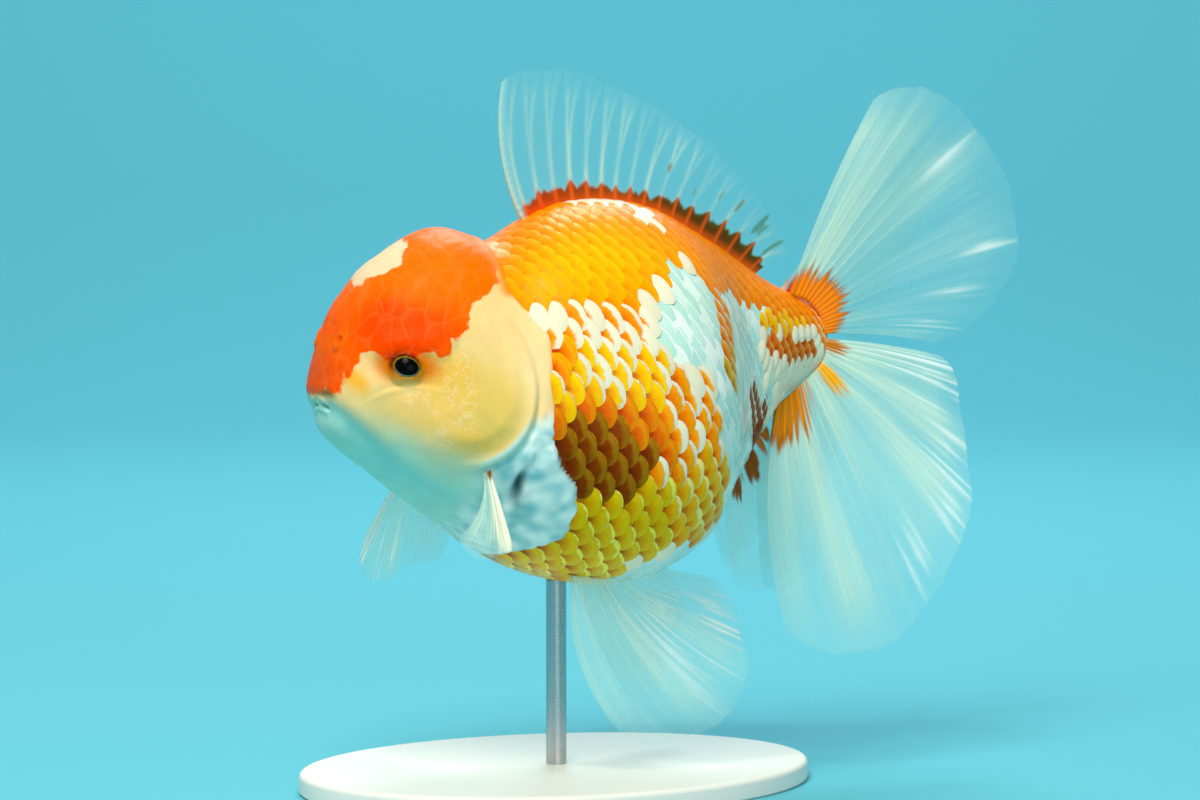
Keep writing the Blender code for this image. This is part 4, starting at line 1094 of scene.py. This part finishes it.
def plate_profile(foot, top, half):
    """A small chamfer below, a quarter round above, and the flat top in three rings."""
    corner = np.radians(np.linspace(0, 90, 8))
    edge = [(PLATE_EDGE * (1 - np.cos(q)), top - PLATE_EDGE * (1 - np.sin(q))) for q in corner]
    flats = [(half * share, top) for share in (0.3, 0.6, 0.9)]
    return [(PLATE_CHAMFER, foot), (0, foot + PLATE_CHAMFER), *edge, *flats]


def post_profile(foot, top, _):
    """A straight side."""
    return [(0, z) for z in np.linspace(foot, top, POST_RINGS)]


# ---- the materials ------------------------------------------------------------------------------------------
COLOURS = {"data_type": "RGBA", "out": 2}             # a Mix node's colour sockets are 6, 7 and output 2
SOFT = {"interpolation_type": "SMOOTHSTEP"}           # a MapRange node's way of blending


def plug(made, inputs):
    """Sets a node's sockets, each to a value, a hex colour or the output that feeds it."""
    for key, value in inputs.items():
        if isinstance(value, bpy.types.NodeSocket):
            made.id_data.links.new(value, made.inputs[key])
        else:
            made.inputs[key].default_value = (*rgb(value), 1) if isinstance(value, str) else value


def add(tree, kind, inputs=(), out=0, **settings):
    """Adds a node with its settings and links, and returns one of its outputs or a slice of them. Inputs are a
    list in the sockets' order, or go by socket name or number."""
    made = tree.nodes.new("ShaderNode" + kind)
    for key, value in settings.items():
        setattr(made, key, value)
    plug(made, inputs if isinstance(inputs, dict) else dict(enumerate(inputs)))
    return made.outputs[out]


def start(name, **sockets):
    """A named material, its Principled shader with these sockets set (an underscore stands for a space), and
    `add` for its nodes."""
    material = bpy.data.materials.new(name)
    material.use_nodes = True
    shader = material.node_tree.nodes["Principled BSDF"]
    plug(shader, {key.replace("_", " "): value for key, value in sockets.items()})
    return material, shader, partial(add, material.node_tree)


@cache
def skin_material():
    """Living fish skin under a wet film: soft and a little see-through, with a low, warm-tinted gloss. The hood
    is fine warty growth; its red ends in a crisp wavy border, and pale lines run in its creases and over the
    cheek."""
    material, shader, node = start("wet goldfish skin", Roughness=0.36, Subsurface_Weight=0.22,
                                   Subsurface_Scale=0.0016, Subsurface_Radius=(1, 0.45, 0.25), IOR=1.36,
                                   Specular_IOR_Level=0.16, Specular_Tint=(1, 0.5, 0.15, 1))
    place = node("TexCoord", out="Object")
    tint = node("Attribute", out="Color", attribute_name="tint")
    hood = node("Attribute", out="Color", attribute_name="hood")
    fields = node("Attribute", out="Vector", attribute_name="fields")
    depth, crease, lace = node("SeparateXYZ", [fields], slice(3))
    # A wavy border: 0.5 mm of wander over waves about 1.5 mm long
    wander = node("TexNoise", {"Vector": place, "Scale": 650, "Detail": 3}, "Fac")
    border = node("Math", [wander, 1.5, depth], operation="MULTIPLY_ADD")
    red = node("MapRange", [border, 0.53, 1.09], **SOFT)
    vein = node("MapRange", [crease, 0.50, 0, 0, 0.12], **SOFT)
    hood = node("Mix", {0: vein, 6: hood, 7: "FF9A4C"}, **COLOURS)
    # Lace on the cheek: cells about 1.5 mm across with pale walls
    warp = node("TexNoise", {"Vector": place, "Scale": 420}, "Color")
    warped = node("Mix", {0: 0.0016, 6: place, 7: warp}, blend_type="ADD", **COLOURS)
    cell = node("TexVoronoi", {"Vector": warped, "Scale": 600}, "Distance", feature="DISTANCE_TO_EDGE")
    wall = node("Math", [node("MapRange", [cell, 0.15, 0], **SOFT), lace], operation="MULTIPLY")
    faint = node("TexNoise", {"Vector": place, "Scale": 330}, "Fac")
    wall = node("Math", [wall, node("MapRange", [faint, 0.36, 0.60], **SOFT)], operation="MULTIPLY")
    pale = node("Math", [wall, 0.19], operation="MULTIPLY")
    tint = node("Mix", {0: pale, 6: tint, 7: "FFF8E8"}, **COLOURS)
    # Mottling a few millimetres across, a tenth lighter and darker
    mottle = node("TexNoise", {"Vector": place, "Scale": 260, "Detail": 4}, "Fac")
    mottle = node("MapRange", [mottle, 0, 1, 0.90, 1.10])
    colour = node("Mix", {0: red, 6: tint, 7: hood}, **COLOURS)
    colour = node("Mix", {0: 1, 6: colour, 7: mottle}, blend_type="MULTIPLY", **COLOURS)
    # Granules 0.5 mm across
    grain = node("TexNoise", {"Vector": place, "Scale": 1900, "Detail": 3}, "Fac")
    raised = node("Math", [wall, 0.3], operation="MULTIPLY")
    height = node("Math", [grain, 0.5, raised], operation="MULTIPLY_ADD")
    bump = node("Bump", {"Height": height, "Strength": 0.28, "Distance": 0.0003})
    plug(shader, {"Base Color": colour, "Normal": bump})
    return material


@cache
def scale_material():
    """Fish scale: a thin bony plate under clear wet skin, silvery below and so pearly. The pigment fills the
    front of each scale and leaves a pale crescent. The front is darker, partly deeper pigment and partly
    painted shade under the scale before it; towards the rear lies a lighter, yellower painted highlight, and
    the rear rim has painted shade again."""
    material, shader, node = start("pigmented fish scale", Roughness=0.24, Subsurface_Weight=0.10,
                                   Subsurface_Scale=0.0010, Subsurface_Radius=(1, 0.5, 0.3), IOR=1.40,
                                   Specular_IOR_Level=0.24, Specular_Tint=(1, 0.66, 0.20, 1))
    (colour, reach), (dark, deep), (edge, pearly) = (
        node("Attribute", out=slice(4), attribute_name=name)[::3] for name in ("pigment", "dark", "edge"))
    bright = node("Attribute", out="Color", attribute_name="bright")
    place = node("Attribute", out="Vector", attribute_name="place")
    _, side, _ = node("SeparateXYZ", [place], slice(3))
    # How far back on the scale: 0 at its front, 1 at its rear rim; ragged by 0.2
    far = node("VectorMath", [place], "Value", operation="LENGTH")
    wander = node("TexNoise", {"Vector": node("TexCoord", out="Object"), "Scale": 700, "Detail": 2}, "Fac")
    far = node("Math", [wander, 0.36, far], operation="MULTIPLY_ADD")
    far = node("Math", [side, 0.16 / SCALE_OVAL, far], operation="MULTIPLY_ADD")
    far = node("Math", [far, 0.18], operation="SUBTRACT")
    spot = node("MapRange", [node("Math", [reach, far], operation="SUBTRACT"), -0.06, 0.09], **SOFT)
    share = node("Math", [far, reach], operation="DIVIDE")
    # From the front, the darker copy (painted shade, partly deeper pigment) gives way to the plain pigment
    inner = node("Mix", {0: node("MapRange", [share, 0.05, 0.62], **SOFT), 6: dark, 7: colour}, **COLOURS)
    # A painted highlight: the lighter, yellower copy towards the rear
    lit = node("Math", [node("MapRange", [share, 0.55, 0.80], **SOFT), deep], operation="MULTIPLY")
    inner = node("Mix", {0: lit, 6: inner, 7: bright}, **COLOURS)
    # Painted shade along the rear rim
    rear = node("MapRange", [share, 0.88, 1.02, 0, 0.5], **SOFT)
    inner = node("Mix", {0: rear, 6: inner, 7: dark}, **COLOURS)
    colour = node("Mix", {0: spot, 6: edge, 7: inner}, **COLOURS)
    # A painted highlight: a pale line just inside the rim, strongest where scales lie flat and unpigmented
    begins, ends = (node("MapRange", [far, *between], **SOFT) for between in ((0.80, 0.90), (1.02, 0.95)))
    line = node("Math", [node("Math", [begins, ends], operation="MULTIPLY"), pearly], operation="MULTIPLY")
    colour = node("Mix", {0: line, 6: colour, 7: "FCFFFA"}, **COLOURS)
    # Growth rings 0.25 mm apart round the scale's root
    rings = node("Math", [node("Math", [far, 48], operation="MULTIPLY")], operation="SINE")
    ringed = node("MapRange", [rings, -1, 1, 0.97, 1.03])
    colour = node("Mix", {0: 1, 6: colour, 7: ringed}, blend_type="MULTIPLY", **COLOURS)
    bump = node("Bump", {"Height": rings, "Strength": 0.10, "Distance": 0.00005})
    plug(shader, {"Base Color": colour, "Normal": bump})
    return material


@cache
def fin_material():
    """Fin membrane over bony rays: clear and milky skin, wet, and pearly along the rays, which are made of
    short joints."""
    material, shader, node = start("translucent fin", Roughness=0.5, IOR=1.36, Specular_IOR_Level=0.1)
    tint, alpha = node("Attribute", out=slice(4), attribute_name="tint")[::3]
    lines = node("Attribute", out="Vector", attribute_name="lines")
    along, ray, _ = node("SeparateXYZ", [lines], slice(3))
    joint = node("MapRange", [node("Math", [along], operation="FRACT"), 0.18, 0.02], **SOFT)
    joint = node("Math", [joint, ray], operation="MULTIPLY")
    plug(shader, {"Base Color": node("Mix", {0: joint, 6: tint, 7: "AFC9C4"}, **COLOURS), "Alpha": alpha})
    return material


@cache
def eye_material():
    """A fish eye under its clear cornea: black pupil, a thin gold ring that shows most at the top, and a grey
    iris flecked with silver. The cornea is mirror-smooth."""
    material, shader, node = start("fish eye", Roughness=0.3, Specular_IOR_Level=0, Coat_Weight=0.10,
                                   Coat_Roughness=0.02, IOR=1.38)
    places = node("Attribute", out="Vector", attribute_name="places")
    oval, up, _ = node("SeparateXYZ", [places], slice(3))
    fleck = node("TexNoise", {"Vector": node("TexCoord", out="Object"), "Scale": 2600, "Detail": 3}, "Fac")
    iris = node("Mix", {0: fleck, 6: "3E4A3C", 7: "7C8C76"}, **COLOURS)
    gold = node("Mix", {0: fleck, 6: "5E3C0A", 7: "9C7426"}, **COLOURS)
    colour = node("Mix", {0: node("MapRange", [up, -1.2, 0.2], **SOFT), 6: iris, 7: gold}, **COLOURS)
    for low, high, paint in ((1.8, 2.1, "2A1408"), (1.06, 0.98, "050505")):
        colour = node("Mix", {0: node("MapRange", [oval, low, high], **SOFT), 6: colour, 7: paint}, **COLOURS)
    plug(shader, {"Base Color": colour})
    return material


def paint_material():
    """Off-white powder coat on steel: satin, with a faint orange peel."""
    material, shader, node = start("off-white powder coat", Roughness=0.42, IOR=1.5, Base_Color="ECEBE5")
    peel = node("TexNoise", {"Vector": node("TexCoord", out="Object"), "Scale": 900}, "Fac")
    bump = node("Bump", {"Height": peel, "Strength": 0.12, "Distance": 0.0001})
    plug(shader, {"Normal": bump, "Roughness": node("MapRange", [peel, 0, 1, 0.36, 0.48])})
    return material


def steel_material():
    """Turned stainless steel: bright, with fine lathe lines round the post."""
    material, shader, node = start("turned stainless steel", Metallic=1, Roughness=0.28, Base_Color="B9BBBD")
    stretched = node("Mapping", {"Vector": node("TexCoord", out="Object"), "Scale": (0.02, 0.02, 1)})
    lathe = node("TexNoise", {"Vector": stretched, "Scale": 6000, "Detail": 2}, "Fac")
    plug(shader, {"Roughness": node("MapRange", [lathe, 0, 1, 0.20, 0.38])})
    return material


def floor_material():
    """Matt pale aqua studio paper."""
    return start("pale studio paper", Roughness=0.9, Base_Color="56B4C6")[0]


# ---- the studio ---------------------------------------------------------------------------------------------
VIEW_AZIMUTH, VIEW_RISE, VIEW_DISTANCE = -25, 3.5, 0.8      # degrees and metres
VIEW_TARGET = np.array([9.5, 0, 80.6]) * MM
VIEW_LENS, VIEW_SHIFT = 121.98, -0.022
FLOOR_HALF, SWEEP_START, SWEEP_RADIUS, SWEEP_TOP = 3.0, 0.9, 0.8, 3.0


def make_stage():
    """A paper sweep: a flat floor that turns up into the backdrop along a quarter circle, on the side away
    from the camera."""
    turn = np.linspace(0, np.pi / 2, 24)
    run = np.concatenate([[-FLOOR_HALF], SWEEP_START + SWEEP_RADIUS * np.sin(turn),
                          [SWEEP_START + SWEEP_RADIUS]])
    rise = np.concatenate([[0], SWEEP_RADIUS * (1 - np.cos(turn)), [SWEEP_TOP]])
    azimuth = np.radians(VIEW_AZIMUTH)
    away = np.array([-np.sin(azimuth), np.cos(azimuth)])
    across = np.array([away[1], -away[0]])
    ends = [np.column_stack([run[:, None] * away + across * reach, rise])
            for reach in (-FLOOR_HALF, FLOOR_HALF)]
    mesh = bpy.data.meshes.new("paper_sweep")
    n = len(run)
    mesh.from_pydata(np.concatenate(ends).tolist(), [], [[i + 1, i, n + i, n + i + 1] for i in range(n - 1)])
    mesh.shade_smooth()
    mesh.materials.append(floor_material())
    put("paper_sweep", mesh)


def aim(obj, azimuth, rise, distance, target):
    """Puts an object at this distance from the target, at angles in degrees, and turns it to face it."""
    azimuth, rise = np.radians([azimuth, rise])
    back = np.array([np.sin(azimuth) * np.cos(rise), -np.cos(azimuth) * np.cos(rise), np.sin(rise)])
    obj.rotation_mode = "QUATERNION"
    obj.rotation_quaternion = Vector(-back).to_track_quat("-Z", "Y")
    obj.location = target + back * distance


def make_camera():
    """A long lens at the angle from which the fish is shown."""
    camera = put("camera", bpy.data.cameras.new("camera"))
    aim(camera, VIEW_AZIMUTH, VIEW_RISE, VIEW_DISTANCE, VIEW_TARGET)
    camera.data.lens, camera.data.shift_y, camera.data.clip_start = VIEW_LENS, VIEW_SHIFT, 0.05
    bpy.context.scene.camera = camera


# name, azimuth, rise, distance, size, power, colour; where they point
BACKDROP_MIDDLE = np.array([0.62, 1.33, 0.55])
LAMPS = [
    ("key_overhead", -45, 52, 0.80, 0.42, 5.4, "FFF4E2", VIEW_TARGET),
    ("spark_overhead", -50, 60, 0.80, 0.03, 0.8, "FFFFFF", VIEW_TARGET),
    ("fill_front", -8, 8, 1.1, 0.8, 3.0, "FFFFFF", VIEW_TARGET),
    ("rim_behind", 150, 45, 0.9, 0.5, 3.0, "FFFFFF", VIEW_TARGET),
    ("backdrop_wash", -25, 62, 1.2, 0.5, 15.0, "FFFFFF", BACKDROP_MIDDLE),
]


def make_lights():
    """Large soft panels round the fish, and an even pale room."""
    for name, azimuth, rise, distance, size, power, tone, target in LAMPS:
        lamp = bpy.data.lights.new(name, "AREA")
        lamp.shape, lamp.size, lamp.energy, lamp.color = "DISK", size, power, rgb(tone)
        aim(put(name, lamp), azimuth, rise, distance, target)
    world = bpy.data.worlds.new("room")
    bpy.context.scene.world = world
    world.use_nodes = True
    plug(world.node_tree.nodes["Background"], {0: "DCF1EC", 1: 0.42})
    bpy.context.scene.view_settings.view_transform = "Standard"


make_stage()
make_camera()
make_lights()
make_skin()
for label, side in (("left", 1), ("right", -1)):
    make_eye(side, "eyeball_" + label)
    make_scales(side, "scales_" + label)
for fin in FINS:
    make_fin(*fin)
make_turned("stand_plate", "stand_base", PLATE_TURNS, paint_material(), "stand_paint", 30, plate_profile)
make_turned("stand_post", "stand_rod", POST_TURNS, steel_material(), "stand_steel", 40, post_profile)
